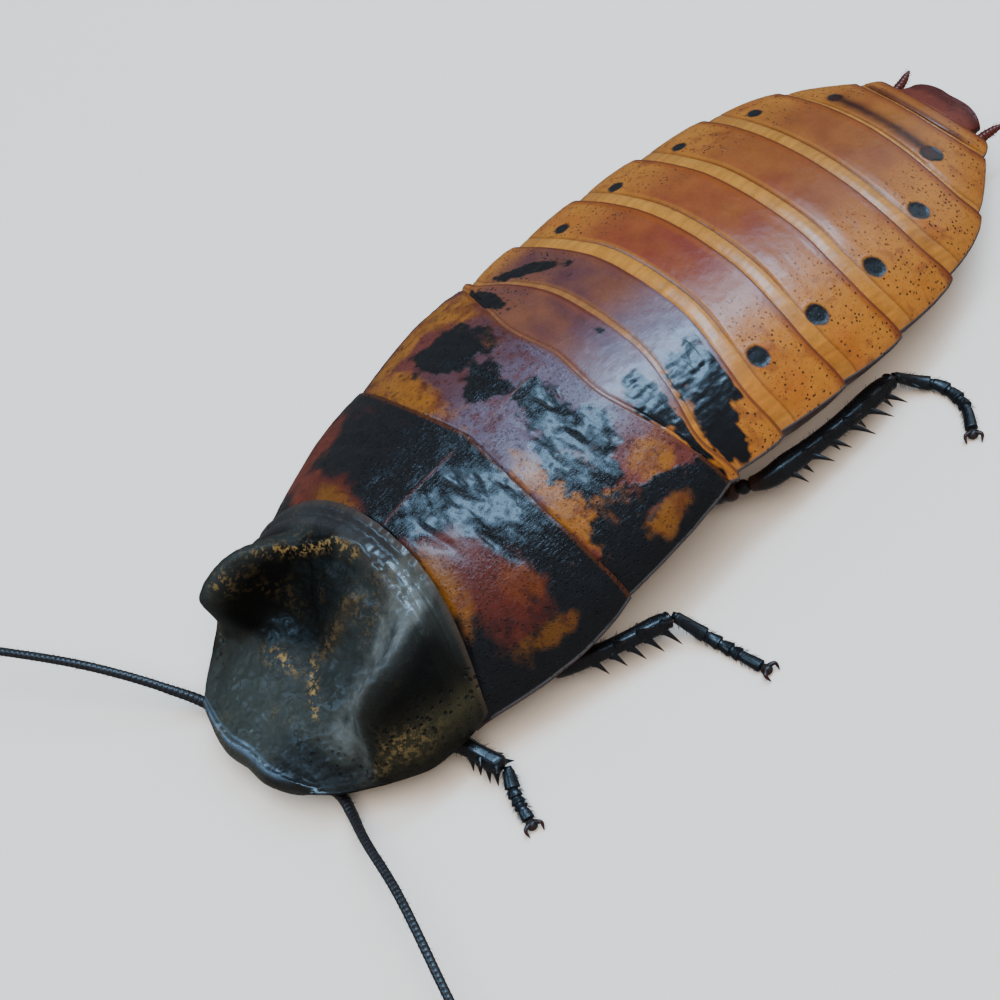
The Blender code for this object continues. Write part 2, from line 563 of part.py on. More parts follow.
def spines(path, radius, rows, rng):
    """Rows of spines along a shank, each row as LEGS gives it."""
    along = np.gradient(path, axis=0)
    along /= np.linalg.norm(along, axis=1)[:, None]
    made = []
    for angle, start, count, length in rows:
        for share in np.linspace(start, SPINE_LAST, count):
            at = share * (len(path) - 1)
            i = min(int(at), len(path) - 2)
            point = path[i] + (path[i + 1] - path[i]) * (at - i)
            across = np.cross(along[i], [0, 0, 1.0])
            across /= np.linalg.norm(across)
            over = np.cross(across, along[i])
            turn = np.radians(angle + rng.uniform(-SPINE_SCATTER, SPINE_SCATTER))
            out = across * np.cos(turn) + over * np.sin(turn)
            lean = out + along[i] * SPINE_LEAN
            size = length * (SPINE_GROWTH[0] + SPINE_GROWTH[1] * share)
            size *= rng.uniform(1 - SPINE_SPREAD, 1 + SPINE_SPREAD)
            root = point + out * radius * SPINE_ROOT
            tip = root + lean / np.linalg.norm(lean) * (size + radius * (1 - SPINE_ROOT))
            tip[2] = max(tip[2], LOWEST_TIP)
            made.append(spine(root, tip, SPINE_THICKNESS))
    return made


def leg(name, side, plan, rng):
    """Coxa, femur, shank with its spines, and foot with its claws, each in its own node."""
    coxa = smooth_path(posed(side, plan["coxa"]), 6)
    add_object(f"coxa_{name}", *tube(coxa, COXA_WIDTHS, COXA_HEIGHTS, 10), BLACK, 0.3)
    femur = smooth_path(plan["femur"], 8)
    add_object(f"femur_{name}", *tube(femur, FEMUR_WIDTHS, FEMUR_HEIGHTS, 10), BLACK, 0.25)
    tibia = smooth_path(plan["tibia"], 10)
    radii = np.array(TIBIA_RADII) * (1 + (plan["girth"] - 1) * np.array(TIBIA_GROWTH))
    parts = [tube(tibia, radii, radii, 8)]
    rows = [(angle if side > 0 else 180 - angle, *rest) for angle, *rest in plan["spines"]]
    parts += spines(tibia, TIBIA_RADII[5], rows, rng)
    fuse(f"tibia_{name}", parts, BLACK, 0.25)
    tarsus = smooth_path([onwards(tibia), *plan["tarsus"]], len(TARSUS_RADII))
    parts = [tube(tarsus, TARSUS_RADII, TARSUS_RADII, 8, 0.0, tibia[-1] - tibia[-2])]
    forward = tarsus[-1] - tarsus[-3]
    forward[2] = 0
    forward /= np.linalg.norm(forward)
    across = np.cross(forward, [0, 0, 1.0])
    pad = tarsus[-1] + forward * PAD_SIZES[0] * 0.7
    pad[2] = PAD_SIZES[2]
    parts.append(ball(pad, PAD_SIZES, 5, 8))
    for turn in (-1, 1):
        root = pad + across * turn * 0.15 + [0, 0, CLAW_RISE - PAD_SIZES[2]]
        bend = root + (forward * 0.35 + across * turn * 0.6) * CLAW_LENGTH
        tip = root + (forward * 0.75 + across * turn * 0.75) * CLAW_LENGTH
        tip[2] = LOWEST_TIP
        claw = smooth_path([root, bend, tip], 3)
        parts.append(tube(claw, CLAW_RADII, CLAW_RADII, 5))
    fuse(f"tarsus_{name}", parts, BLACK, 0.3)


def antenna(name, scape, whip):
    """Scape on the head and three lengths of the whip, each starting where the last one ends."""
    scape = smooth_path(scape, 5)
    add_object(f"antenna_{name}_base", *tube(scape, SCAPE_RADII, SCAPE_RADII, 8), BLACK, 0.35)
    whole = smooth_path([onwards(scape), *whip], 3 * WHIP_STEPS + 1)
    radii = np.interp(np.linspace(0, 1, len(whole)), WHIP_SHARES, WHIP_RADII)
    end = scape
    for number in range(3):
        part = slice(number * WHIP_STEPS, (number + 1) * WHIP_STEPS + 1)
        length = whole[part].copy()
        length[0] = onwards(end)
        sizes = radii[part]
        tubing = tube(length, sizes, sizes, 8, start=end[-1] - end[-2])
        add_object(f"antenna_{name}_{number + 1}", *tubing, BLACK, 0.4)
        end = length


# Tail

def tail_plate(name, half_widths, tops, thickness, stations, colour):
    """Small end plate behind the last ring, its front edge set off that ring's margin."""
    u = np.linspace(-1, 1, 9)
    share = np.linspace(0, 1, 5)[:, None]
    width = half_widths[0] + (half_widths[1] - half_widths[0]) * share
    x = u * width
    front = np.maximum(margin("abdomen_8", x / half_widths[2]) + GAP / 2, stations[0])
    notch = TAIL_NOTCH * np.exp(-(u / NOTCH_WIDTH) ** 2)
    station = front + (stations[1] - TAIL_ROUND * u ** 4 - notch - front) * share
    arch = np.sqrt(np.clip(1 - u ** 2, 0, 1)) * TAIL_ARCH
    top = tops[0] + (tops[1] - tops[0]) * share + arch
    add_object(name, *slab(pose(x, station, top), pose(x, station, top - thickness)), colour, 0.35)


def cercus(name, side):
    path = smooth_path(posed(side, CERCUS_PATH), 5)
    add_object(name, *tube(path, CERCUS_RADII, CERCUS_RADII, 8), MAROON, 0.4)


def build():
    for old in list(bpy.data.objects):
        bpy.data.objects.remove(old)
    rng = np.random.default_rng(SPINE_SEED)
    pronotum()
    prothorax()
    add_object("head", *head_surface(), DARK_BROWN, 0.35)
    thorax_plate("pronotum", "mesonotum", BLACK, 0.25)
    thorax_plate("mesonotum", "metanotum", DARK_BROWN, 0.25)
    thorax_ring_core("pronotum", "mesonotum", "mesothorax")
    thorax_ring_core("mesonotum", "metanotum", "metathorax")
    names = list(HIND_MARGINS)
    for before, name in zip(names[2:], names[3:]):
        abdomen_ring(before, name, RING_COLOURS.get(name, AMBER))
    tail_plate("supra_anal_plate", SUPRA_ANAL_WIDTHS, SUPRA_ANAL_TOPS, 0.8, (70.9, 73.9), MAROON)
    tail_plate("subgenital_plate", SUBGENITAL_WIDTHS, SUBGENITAL_TOPS, 1.0, (71.2, 73.3), MAROON)
    for word, side in (("left", 1), ("right", -1)):
        eye(f"eye_{word}", side)
        palp(f"palp_{word}", side)
        cercus(f"cercus_{word}", side)
        antenna(word, *ANTENNAE[word])
        for pair in ("fore", "mid", "hind"):
            leg(f"{pair}_{word}", side, {**LEGS[pair], **LEGS[f"{pair}_{word}"]}, rng)


build()
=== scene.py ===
"""Looks of a male Madagascar hissing cockroach at life size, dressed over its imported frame.

Sizes are in millimetres and turn into metres where a mesh is made. The insect faces -Y, its left side is +X
and the floor is z = 0. A station counts backwards from the middle of the shield's front rim; u runs across
the body from -1 at the right margin to 1 at the left one.
"""

import bpy
import numpy as np
from bpy.props import FloatProperty, FloatVectorProperty, IntProperty, PointerProperty
from mathutils import Matrix


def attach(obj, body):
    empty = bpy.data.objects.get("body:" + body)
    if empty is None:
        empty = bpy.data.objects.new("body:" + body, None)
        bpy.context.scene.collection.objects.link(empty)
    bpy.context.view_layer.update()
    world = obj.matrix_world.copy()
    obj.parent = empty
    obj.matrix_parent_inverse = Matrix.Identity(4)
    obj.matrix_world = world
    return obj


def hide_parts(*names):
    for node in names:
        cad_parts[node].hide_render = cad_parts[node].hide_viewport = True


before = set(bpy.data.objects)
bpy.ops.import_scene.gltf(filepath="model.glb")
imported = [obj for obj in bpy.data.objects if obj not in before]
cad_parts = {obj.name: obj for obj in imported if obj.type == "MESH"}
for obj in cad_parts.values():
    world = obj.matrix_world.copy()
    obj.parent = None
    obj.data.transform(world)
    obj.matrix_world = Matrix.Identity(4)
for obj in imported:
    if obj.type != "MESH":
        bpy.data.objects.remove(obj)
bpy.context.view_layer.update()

bl_info = {
    "name": "Hissing Cockroach Model",
    "version": (1, 0, 0),
    "blender": (4, 5, 0),
    "location": "View3D > Sidebar > Cockroach",
    "description": "Dresses the frame of a life-size hissing cockroach in its plates, limbs and finishes",
    "category": "Object",
}

MM = 0.001
GAP = 0.3
ORIGIN_STATION = 43.5
SPINE_SEED = 11

# The trunk, by station, as the solids have it
TRUNK_STATIONS = [11.5, 16.5, 20.5, 24.5, 34.5, 42.5, 48.5, 54.5, 60.5, 65.5, 69.5, 72.0]
HALF_WIDTHS = [11.4, 12.6, 13.3, 13.6, 13.5, 13.5, 13.6, 13.2, 12.1, 9.9, 6.8, 4.9]
MARGIN_HEIGHTS = [3.9, 4.5, 5.3, 6.3, 7.8, 7.4, 6.8, 6.2, 5.9, 5.6, 5.2, 4.9]
BACK_HEIGHTS = [11.4, 12.3, 12.6, 12.8, 13.4, 13.0, 12.4, 11.4, 10.0, 8.7, 7.3, 6.2]
ARCH_POWERS = [0.68, 0.68, 0.69, 0.70, 0.68, 0.68, 0.68, 0.68, 0.68, 0.68, 0.68, 0.68]
BELLY_STATIONS = [11.5, 24.5, 33.0, 37.0, 40.0, 42.3, 60.5, 65.5, 69.5, 72.0]
BELLY_HEIGHTS = [4.2, 4.2, 3.9, 3.0, 1.2, 0.0, 0.0, 0.5, 1.3, 1.8]
FLAT_SHARE = 0.5
MARGIN_THICKNESS = 0.22
MARGIN_SHARES = [0.0, 0.35, 0.6, 0.83, 1.0]
HIND_MARGINS = {
    "pronotum": [15.4, 15.1, 14.4, 13.2, 12.0],
    "mesonotum": [24.15, 23.65, 23.6, 23.8, 24.1],
    "metanotum": [32.5, 32.2, 33.0, 33.9, 34.6],
    "abdomen_1": [36.6, 36.4, 35.6, 34.8, 35.5],
    "abdomen_2": [41.0, 40.8, 40.1, 39.6, 39.9],
    "abdomen_3": [46.55, 46.4, 46.0, 45.8, 46.2],
    "abdomen_4": [52.25, 52.2, 51.9, 51.9, 52.4],
    "abdomen_5": [58.4, 58.35, 58.3, 58.4, 59.0],
    "abdomen_6": [64.6, 64.5, 64.4, 64.5, 65.1],
    "abdomen_7": [68.6, 68.7, 69.0, 69.5, 70.1],
    "abdomen_8": [70.5, 70.6, 70.9, 71.3, 71.7],
}
FLARE_SHARES = [-0.3, 0.0, 0.2, 0.32, 0.6, 0.88, 1.0, 1.1]
PLATE_FLARE = [-0.5, -0.2, -0.02, 0.09, 0.26, 0.32, 0.24, 0.1]
THORAX_FLARE = [-0.4, -0.05, 0.14, 0.24, 0.42, 0.34, 0.14, 0.05]
THORAX_HINGE, THORAX_YAW = 34.5, np.radians(4.29)
TAIL_HINGE, TAIL_YAW = 38.5, np.radians(2.4)
BEND_LENGTH = 34.0

# Smooth front band of each back plate, and its pair of dark dots: share of the half width, station, radius
BANDS = {"abdomen_1": 0.4, "abdomen_2": 0.6, "abdomen_3": 1.5, "abdomen_4": 1.47, "abdomen_5": 1.55,
         "abdomen_6": 1.5, "abdomen_7": 0.55, "abdomen_8": 0.45}
DOTS = {"abdomen_3": (0.71, 42.3, 0.64), "abdomen_4": (0.725, 48.0, 0.66), "abdomen_5": (0.725, 54.3, 0.66),
        "abdomen_6": (0.67, 60.8, 0.66), "abdomen_7": (0.50, 66.1, 0.7)}
# How strongly the red-brown middle and the smooth front band of each ring show
DISC_STRENGTHS = [1.0, 1.0, 0.95, 0.88, 0.78, 0.72, 0.5, 0.5]
BAND_STRENGTHS = [0.12, 0.5, 1.0, 1.0, 1.0, 1.0, 1.0, 1.0]
# Patches are ovals: share of the half width, station, half width share, half length, slant
RING_PATCHES = {
    1: [(0.53, 34.4, 0.19, 1.2, 0), (0.78, 34.6, 0.2, 0.8, 0), (-0.62, 33.8, 0.2, 0.75, 0)],
    2: [(0.6, 38.4, 0.2, 2.2, 0), (0.76, 36.9, 0.13, 1.5, 0), (0.88, 36.6, 0.1, 1.1, 0),
        (-0.6, 37.4, 0.075, 2.0, 0.085)],
}
MIDDLE_RED = [(0.53, 16.8, 0.33, 3.3, 0.04), (-0.5, 15.6, 0.3, 1.5, 0), (-0.87, 18.3, 0.13, 3.0, 0)]
MIDDLE_BROWN = [(0.91, 18.7, 0.04, 1.9, 0)]
MIDDLE_ORANGE = [(0.68, 19.0, 0.1, 1.2, 0)]
MIDDLE_AMBER = [(-0.44, 15.5, 0.16, 0.8, 0)]
HIND_BLACK = [(0.18, 29.0, 0.17, 1.7, 0), (0.45, 28.4, 0.23, 2.6, 0), (-0.5, 28.6, 0.21, 2.6, 0),
              (-0.2, 28.1, 0.16, 1.6, 0), (0.83, 26.4, 0.1, 1.9, 0.01), (0.82, 30.0, 0.045, 3.4, 0.01)]
HIND_OVAL = [(0.92, 29.8, 0.055, 2.3, 0)]
HIND_AMBER = [(0.56, 24.9, 0.3, 1.3, 0), (-0.58, 24.8, 0.3, 1.4, 0), (-0.83, 27.5, 0.07, 3.5, 0),
              (-0.76, 31.8, 0.16, 1.7, 0), (0.71, 26.9, 0.045, 1.4, 0), (0.71, 31.2, 0.1, 1.6, 0.03)]
# Dents of the thorax plates: millimetres across, station, half width, half length
DENTS = {
    "mesonotum": [(-2.5, 18.6, 1.6, 0.5), (3.6, 17.3, 1.7, 0.45), (6.4, 19.8, 1.8, 0.4),
                  (2.4, 21.2, 1.9, 0.4)],
    "metanotum": [(-4.0, 28.0, 1.8, 0.5), (3.5, 27.2, 1.9, 0.45), (6.2, 28.6, 2.0, 0.5),
                  (2.6, 29.6, 1.6, 0.4)],
}
# Stations where the suture of a thorax plate starts, is full, starts to fade and ends
SUTURES = {"mesonotum": (15.6, 16.2, 22.3, 23.0), "metanotum": (25.0, 25.8, 31.2, 31.9)}
# The painted highlight along the side margins, a thin pale line: shares of the half width where it starts and
# is full
MARGIN_HIGHLIGHT = (0.998, 0.9993)
# Height over the arch along a plate: tucked front, visible line, groove, lip, hind edge
TUCK_STEPS = [0, 0.75, 1, 1.1, 1.28, 1.6, 1.86, 1.94, 2.0, 2.05, 2.14, 2.5, 3, 3.55, 3.8, 3.93, 4]
TUCK_RELIEF = [-0.8, -0.56, -0.42, -0.3, -0.13, -0.04, -0.09, -0.14, -0.24, -0.09, -0.01, 0.04, 0.07, 0.1,
               0.1, 0.05, -0.06]
THORAX_STEPS = [0, 0.75, 1, 1.3, 1.7, 2.0, 2.5, 3, 3.5, 3.8, 3.93, 4]
THORAX_RELIEF = [-0.85, -0.5, -0.34, -0.1, 0.0, 0.02, 0.07, 0.1, 0.13, 0.13, 0.08, -0.03]

# The shield, by the share of its length
SHIELD_SHARES = [0.0, 0.1, 0.25, 0.4, 0.55, 0.7, 0.85, 1.0]
SHIELD_HALF_WIDTHS = [5.5, 6.7, 8.1, 9.4, 10.5, 11.0, 11.3, 11.3]
SHIELD_RIM_HEIGHTS = [3.4, 3.2, 3.1, 3.2, 3.4, 3.7, 4.1, 4.5]
SHIELD_DISC_HEIGHTS = [3.4, 4.0, 4.9, 6.2, 8.2, 10.2, 11.8, 12.6]
SHIELD_ARCH_POWERS = [1.1, 1.1, 1.1, 1.0, 0.86, 0.76, 0.71, 0.69]
SHIELD_FRONT = [-0.75, -0.85, -0.5, 0.05, 0.5]
HORN_CREST = [(3.5, 7.2), (6.0, 7.1), (8.0, 6.8), (12.0, 5.8)]
HORN_WIDTHS = (1.55, 2.4)
HORN_HEIGHT = 5.0
HORN_LEAN = 0.42
HORN_STATIONS = [3.8, 4.7, 5.4, 6.1, 7.1, 8.3, 9.7, 11.1, 12.5, 14.0]
HORN_PROFILE = [0.0, 0.1, 0.45, 0.85, 1.0, 0.97, 0.75, 0.45, 0.12, 0.0]
HOLLOW_DEPTH, HOLLOW_STATION, HOLLOW_SIZE = 1.6, 7.8, 2.8

# Colours of single places, as shares of red, green and blue
# Painted sheen: a pale lilac laid on the middle of the first two rings and of the hind thorax plate, where
# their highlight falls
PAINTED_SHEEN = {"ring": (0.13, 0.115, 0.165), "thorax": (0.11, 0.105, 0.155)}
# slope: painted sheen, the near horn's inner slope lightened to grey
SHIELD_TONES = {"front": (0.026, 0.028, 0.022), "slope": (0.085, 0.092, 0.086),
                # outer: painted shade, the horns' outer flanks darkened to near black
                "ridge": (0.032, 0.021, 0.010), "outer": (0.0015, 0.0016, 0.0014),
                # hollow: painted shade, the pocket beside the fold and the right horn's inner flank darkened
                # to near black
                "hollow": (0.002, 0.002, 0.0015), "corner": (0.004, 0.004, 0.004),
                "side_rim": (0.030, 0.026, 0.012), "hind_band": (0.028, 0.026, 0.027),
                # bead: painted highlight, blue lines along the front bead
                "hind_edge": (0.05, 0.03, 0.02), "bead": (0.07, 0.11, 0.16)}
LIMB_TONES = {"spine_tip": (0.05, 0.014, 0.006), "thigh_end": (0.035, 0.012, 0.006),
              "shank_root": (0.03, 0.01, 0.006), "claw_tip": (0.07, 0.02, 0.008), "pad": (0.03, 0.02, 0.016),
              "end_pad": (0.02, 0.014, 0.012), "ring_joint": (0.04, 0.02, 0.012),
              "antenna_tip": (0.035, 0.018, 0.012)}

# Head, by station from the crown backwards
HEAD_STATIONS = [2.3, 2.8, 3.8, 5.2, 7.0, 8.6, 9.6, 10.0]
HEAD_HALF_WIDTHS = [1.2, 2.3, 3.1, 3.6, 3.6, 3.1, 2.4, 1.7]
HEAD_TOPS = [2.1, 2.5, 2.8, 3.2, 3.6, 3.9, 3.9, 3.7]
HEAD_BOTTOMS = [1.6, 1.2, 0.9, 0.7, 0.6, 0.9, 1.5, 2.1]
EYE_STATION, EYE_HEIGHT = 4.6, 2.1
EYE_SIZES = (0.9, 1.2, 0.9)
PALP_PATH = [(2.5, 8.3, 0.45), (3.6, 7.0, 0.5), (4.4, 5.0, 0.55), (4.3, 3.2, 0.5)]

# Legs, as the solids have them
COXA_WIDTHS = [1.1, 1.6, 1.6, 1.4, 1.1, 0.8]
COXA_HEIGHTS = [0.5, 0.7, 0.7, 0.65, 0.55, 0.4]
FEMUR_WIDTHS = [0.6, 0.95, 1.15, 1.2, 1.15, 1.0, 0.85, 0.7]
FEMUR_HEIGHTS = [0.5, 0.7, 0.8, 0.85, 0.85, 0.8, 0.75, 0.65]
TIBIA_RADII = [0.5, 0.68, 0.7, 0.64, 0.6, 0.6, 0.62, 0.66, 0.68, 0.55]
SPINE_SHARES = [0.0, 0.1, 0.16, 0.2, 0.24, 0.3, 0.42, 0.56, 0.7, 0.84, 0.94, 1.0]
FOOT_CUTS = [0.0, 0.36, 0.53, 0.66, 0.76, 1.0]
LEGS = {
    "fore": {"girth": 1.05, "coxa": [(5.0, 10.8, 3.6), (3.9, 12.5, 3.15), (2.7, 14.3, 2.85)],
             "spines": [(-35, 0.45, 4, 1.3), (215, 0.5, 3, 1.2), (40, 0.6, 2, 0.9)]},
    "mid": {"girth": 1.05, "coxa": [(6.2, 16.6, 3.8), (4.7, 19.2, 3.3), (3.0, 21.9, 2.9)],
            "spines": [(-30, 0.3, 5, 1.9), (215, 0.35, 4, 1.4), (55, 0.5, 3, 1.4)]},
    "hind": {"girth": 1.24, "coxa": [(6.4, 26.4, 3.8), (4.9, 29.2, 3.2), (3.2, 31.8, 2.8)],
             "spines": [(-10, 0.2, 6, 2.4), (-60, 0.28, 4, 2.0), (55, 0.3, 5, 1.8), (215, 0.35, 4, 1.4)]},
    "fore_left": {"femur": [(4.4, -28.5, 1.6), (7.0, -30.6, 1.6), (8.9, -33.1, 2.3)],
                  "tibia": [(9.9, -33.4, 2.4), (11.7, -32.9, 1.95), (14.1, -32.3, 1.5)],
                  "tarsus": [(15.9, -33.1, 0.75), (17.6, -33.6, 0.38)]},
    "mid_left": {"femur": [(4.6, -20.7, 1.6), (8.4, -22.9, 1.7), (11.1, -26.2, 2.7)],
                 "tibia": [(12.2, -25.6, 3.0), (12.6, -24.5, 3.0), (13.6, -22.0, 2.8), (15.0, -17.0, 2.1)],
                 "tarsus": [(17.6, -15.9, 0.7), (21.5, -15.2, 0.38)]},
    "hind_left": {"femur": [(4.6, -11.0, 1.6), (8.4, -9.2, 1.8), (12.1, -6.8, 3.5)],
                  "tibia": [(12.5, -6.3, 3.7), (13.2, -5.3, 3.9), (13.5, -3.0, 3.7), (13.7, 0.4, 3.3),
                            (13.5, 7.8, 2.2)],
                  "tarsus": [(14.3, 9.3, 1.1), (15.9, 10.4, 0.6), (18.1, 10.2, 0.4), (19.9, 8.8, 0.38)]},
    "fore_right": {"femur": [(-3.6, -28.5, 1.6), (-6.2, -30.6, 1.6), (-8.0, -33.1, 2.3)],
                   "tibia": [(-9.0, -33.4, 2.4), (-10.4, -32.8, 1.95), (-11.7, -31.2, 1.6)],
                   "tarsus": [(-12.6, -29.6, 0.7), (-13.0, -27.4, 0.38)]},
    "mid_right": {"femur": [(-4.0, -20.7, 1.6), (-7.9, -22.0, 1.7), (-11.0, -24.3, 2.7)],
                  "tibia": [(-12.2, -23.8, 3.0), (-12.6, -22.7, 3.0), (-13.6, -15.2, 2.1)],
                  "tarsus": [(-14.5, -13.0, 0.7), (-15.1, -8.6, 0.38)]},
    "hind_right": {"femur": [(-4.2, -11.0, 1.6), (-8.1, -9.2, 1.8), (-11.7, -6.8, 3.4)],
                   "tibia": [(-12.1, -6.3, 3.6), (-12.8, -5.2, 3.8), (-13.2, -3.0, 3.6), (-13.4, 2.0, 3.0),
                             (-13.5, 7.8, 2.2)],
                   "tarsus": [(-14.1, 9.6, 0.9), (-14.9, 11.2, 0.4), (-15.6, 14.8, 0.38)]},
}

# Antennae: the scape, then points that the whip runs through
SCAPE_RADII = [0.4, 0.55, 0.55, 0.45, 0.5]
WHIP_SHARES = [0.0, 0.12, 0.5, 0.92, 1.0]
WHIP_RADII = [0.46, 0.34, 0.3, 0.25, 0.14]
ANTENNAE = {
    "left": ([(3.5, -41.0, 1.7), (4.5, -41.2, 1.55), (5.4, -41.1, 1.45)],
             [(7.3, -41.0, 1.45), (8.8, -41.4, 1.7), (11.0, -42.1, 2.6), (16.4, -43.4, 4.2),
              (24.5, -46.0, 4.8), (33.0, -48.6, 5.0), (41.0, -50.6, 4.2), (48.0, -51.8, 2.6)]),
    "right": ([(-1.6, -41.6, 1.7), (-2.6, -42.1, 1.55), (-3.5, -42.4, 1.45)],
              [(-5.2, -42.7, 1.6), (-8.0, -44.1, 2.7), (-11.7, -46.4, 4.2), (-18.0, -50.6, 5.3),
               (-27.0, -57.0, 5.4), (-35.0, -62.5, 4.2), (-41.0, -66.5, 2.6)]),
}

# Tail
SUPRA_ANAL_WIDTHS, SUPRA_ANAL_TOPS = (3.7, 3.45, 5.3), (5.4, 4.4)
SUBGENITAL_WIDTHS, SUBGENITAL_TOPS = (3.4, 2.4, 5.3), (2.6, 2.6)
CERCUS_PATH = [(4.2, 71.75, 4.3), (4.35, 72.8, 4.4), (4.75, 74.3, 4.6)]
CERCUS_RADII = [0.33, 0.40, 0.36, 0.28, 0.08]

# Camera: position in millimetres, turn about its own axis, and the lens for a 36 mm sensor
CAMERA_PLACE = (71.654, -58.015, 114.980)
CAMERA_AZIMUTH, CAMERA_ELEVATION, CAMERA_ROLL = 61.12, 53.53, -18.16
# Softboxes: direction, distance, width and length in metres, share of the power, colour, and whether the
# polished places mirror it
SOFTBOXES = {
    "softbox_over": ((-0.08, 0.24, 0.96), 0.45, 0.27, 0.6, 0.42, (0.36, 0.66, 1.0), True),
    "softbox_core": ((-0.07, 0.24, 0.96), 0.44, 0.07, 0.42, 0.4, (0.4, 0.68, 1.0), True),
    "softbox_behind": ((-0.05, 0.90, 0.42), 0.55, 0.4, 0.2, 0.08, (0.8, 0.9, 1.0), True),
    "softbox_front": ((-0.5, -0.62, 0.6), 0.5, 0.32, 0.16, 0.22, (0.36, 0.68, 1.0), True),
    "fill": ((0.25, -0.2, 0.95), 0.6, 0.5, 0.5, 1.25, (1.0, 0.92, 0.84), False),
}


# Curves and the body's shape

def smooth_curve(at, stations, values):
    """Cubic Hermite curve through the stations, its slopes taken from the neighbours."""
    stations = np.array(stations, float)
    values = np.array(values, float)
    slopes = np.gradient(values, stations, axis=0)
    at = np.clip(np.asarray(at, float), stations[0], stations[-1])
    i = np.clip(np.searchsorted(stations, at, side="right") - 1, 0, len(stations) - 2)
    step = stations[i + 1] - stations[i]
    t = (at - stations[i]) / step
    if values.ndim > 1:
        t, step = t[..., None], step[..., None]
    near = (1 + 2 * t) * (1 - t) ** 2 * values[i] + t * (1 - t) ** 2 * step * slopes[i]
    far = t ** 2 * (3 - 2 * t) * values[i + 1] + t ** 2 * (t - 1) * step * slopes[i + 1]
    return near + far


def profile(share, values):
    """Curve through values that stand at even shares of a length."""
    return smooth_curve(share, np.linspace(0, 1, len(values)), values)


def rise(value, low, high):
    """0 below low, 1 above high, with a smooth step between; falls where low is the larger."""
    t = np.clip((value - low) / (high - low), 0, 1)
    return t * t * (3 - 2 * t)


def bell(value, centre, width):
    """1 at the centre, falling as e to the minus square of the distance in widths."""
    return np.exp(-((value - centre) / width) ** 2)


def grain(points, size, seed=0, octaves=1):
    """Value noise from -1 to 1: scattered numbers at the corners of cells of this size, blended smoothly
    between them; each further octave has half the size and half the weight."""
    total, weight = 0, 0
    for octave in range(octaves):
        at = points / (np.asarray(size) / 2 ** octave)
        cell = np.floor(at).astype(np.int64)
        part = at - cell
        part = part * part * (3 - 2 * part)
        value = 0
        for corner in np.ndindex(2, 2, 2):
            mixed = ((cell + corner) * np.array([73856093, 19349663, 83492791])).sum(-1)
            mixed = mixed + (seed + octave) * 7919
            mixed = (mixed ^ (mixed >> 13)) * 1274126177
            mixed = (mixed ^ (mixed >> 16)) & 0xFFFFF
            share = np.where(corner, part, 1 - part).prod(-1)
            value = value + share * (mixed / 0x7FFFF - 1)
        total = total + value / 2 ** octave
        weight += 1 / 2 ** octave
    return total / weight


def flat_spots(x, station):
    """Places on a plate as the noise reads them, from above."""
    x, station = np.broadcast_arrays(x, station)
    return np.stack([x, station, 0 * x], -1)


def turns(sides, start=0.5):
    """Angles at even steps round a section, the first one after this share of a step."""
    return (np.arange(sides) + start) * 2 * np.pi / sides


def trunk(station, values):
    """A measure of the trunk at a station, on the smooth curve through its values."""
    return smooth_curve(station, TRUNK_STATIONS, values)


def keel(station):
    """Height of the belly's middle, never below the floor."""
    return np.maximum(smooth_curve(station, BELLY_STATIONS, BELLY_HEIGHTS), 0)


def margin(name, u):
    """Station of a plate's hind margin across the body, alike on both sides."""
    return smooth_curve(np.abs(u), MARGIN_SHARES, HIND_MARGINS[name])


def pose(x, station, z):
    """Bends the body sideways and puts the origin under its belly."""
    ahead = np.clip(THORAX_HINGE - station, 0, None)
    behind = np.clip(station - TAIL_HINGE, 0, None)
    x = x + THORAX_YAW * ahead ** 2 / 2 / BEND_LENGTH
    station = station + THORAX_YAW * ahead / BEND_LENGTH * x
    x = x + TAIL_YAW * behind ** 2 / 2 / BEND_LENGTH
    station = station - TAIL_YAW * behind / BEND_LENGTH * x
    return np.stack(np.broadcast_arrays(x, station - ORIGIN_STATION, z), -1)


def back(u, station, relief, flare):
    """Arch of the back: its height falls from the middle as (1 - u squared) to a power; the relief fades
    only close to the margins."""
    low = trunk(station, MARGIN_HEIGHTS)
    high = trunk(station, BACK_HEIGHTS)
    arch = np.clip(1 - u ** 2, 0, 1) ** trunk(station, ARCH_POWERS)
    return u * (trunk(station, HALF_WIDTHS) + flare), low + (high - low) * arch + relief * arch ** 0.4


def belly(u, station):
    """Flat in its middle, curving up to the side margins."""
    low = keel(station)
    high = trunk(station, MARGIN_HEIGHTS) - MARGIN_THICKNESS
    return low + (high - low) * np.clip((np.abs(u) - FLAT_SHARE) / (1 - FLAT_SHARE), 0, 1) ** 2.2


def columns(count, reach=1.0):
    """Shares of the half width, closer together towards the margins."""
    return np.sin(np.linspace(-np.pi / 2, np.pi / 2, count)) * reach


def smooth_path(points, count):
    """Points along the smooth curve through the given ones, at even steps of their
    straight lengths."""
    points = np.asarray(points, float)
    lengths = np.concatenate([[0], np.cumsum(np.linalg.norm(np.diff(points, axis=0), axis=1))])
    return smooth_curve(np.linspace(0, lengths[-1], count), lengths, points)


def posed(side, points):
    """Points given for a straight body, turned to one side and bent with the body."""
    return [pose(side * x, np.float64(s), np.float64(z)) for x, s, z in points]


def onwards(path, distance=GAP):
    """The point straight ahead of a path's end, at this distance."""
    step = path[-1] - path[-2]
    return path[-1] + step / np.linalg.norm(step) * distance


# Forms: points, four-sided and three-sided faces, a tint and marks for each point

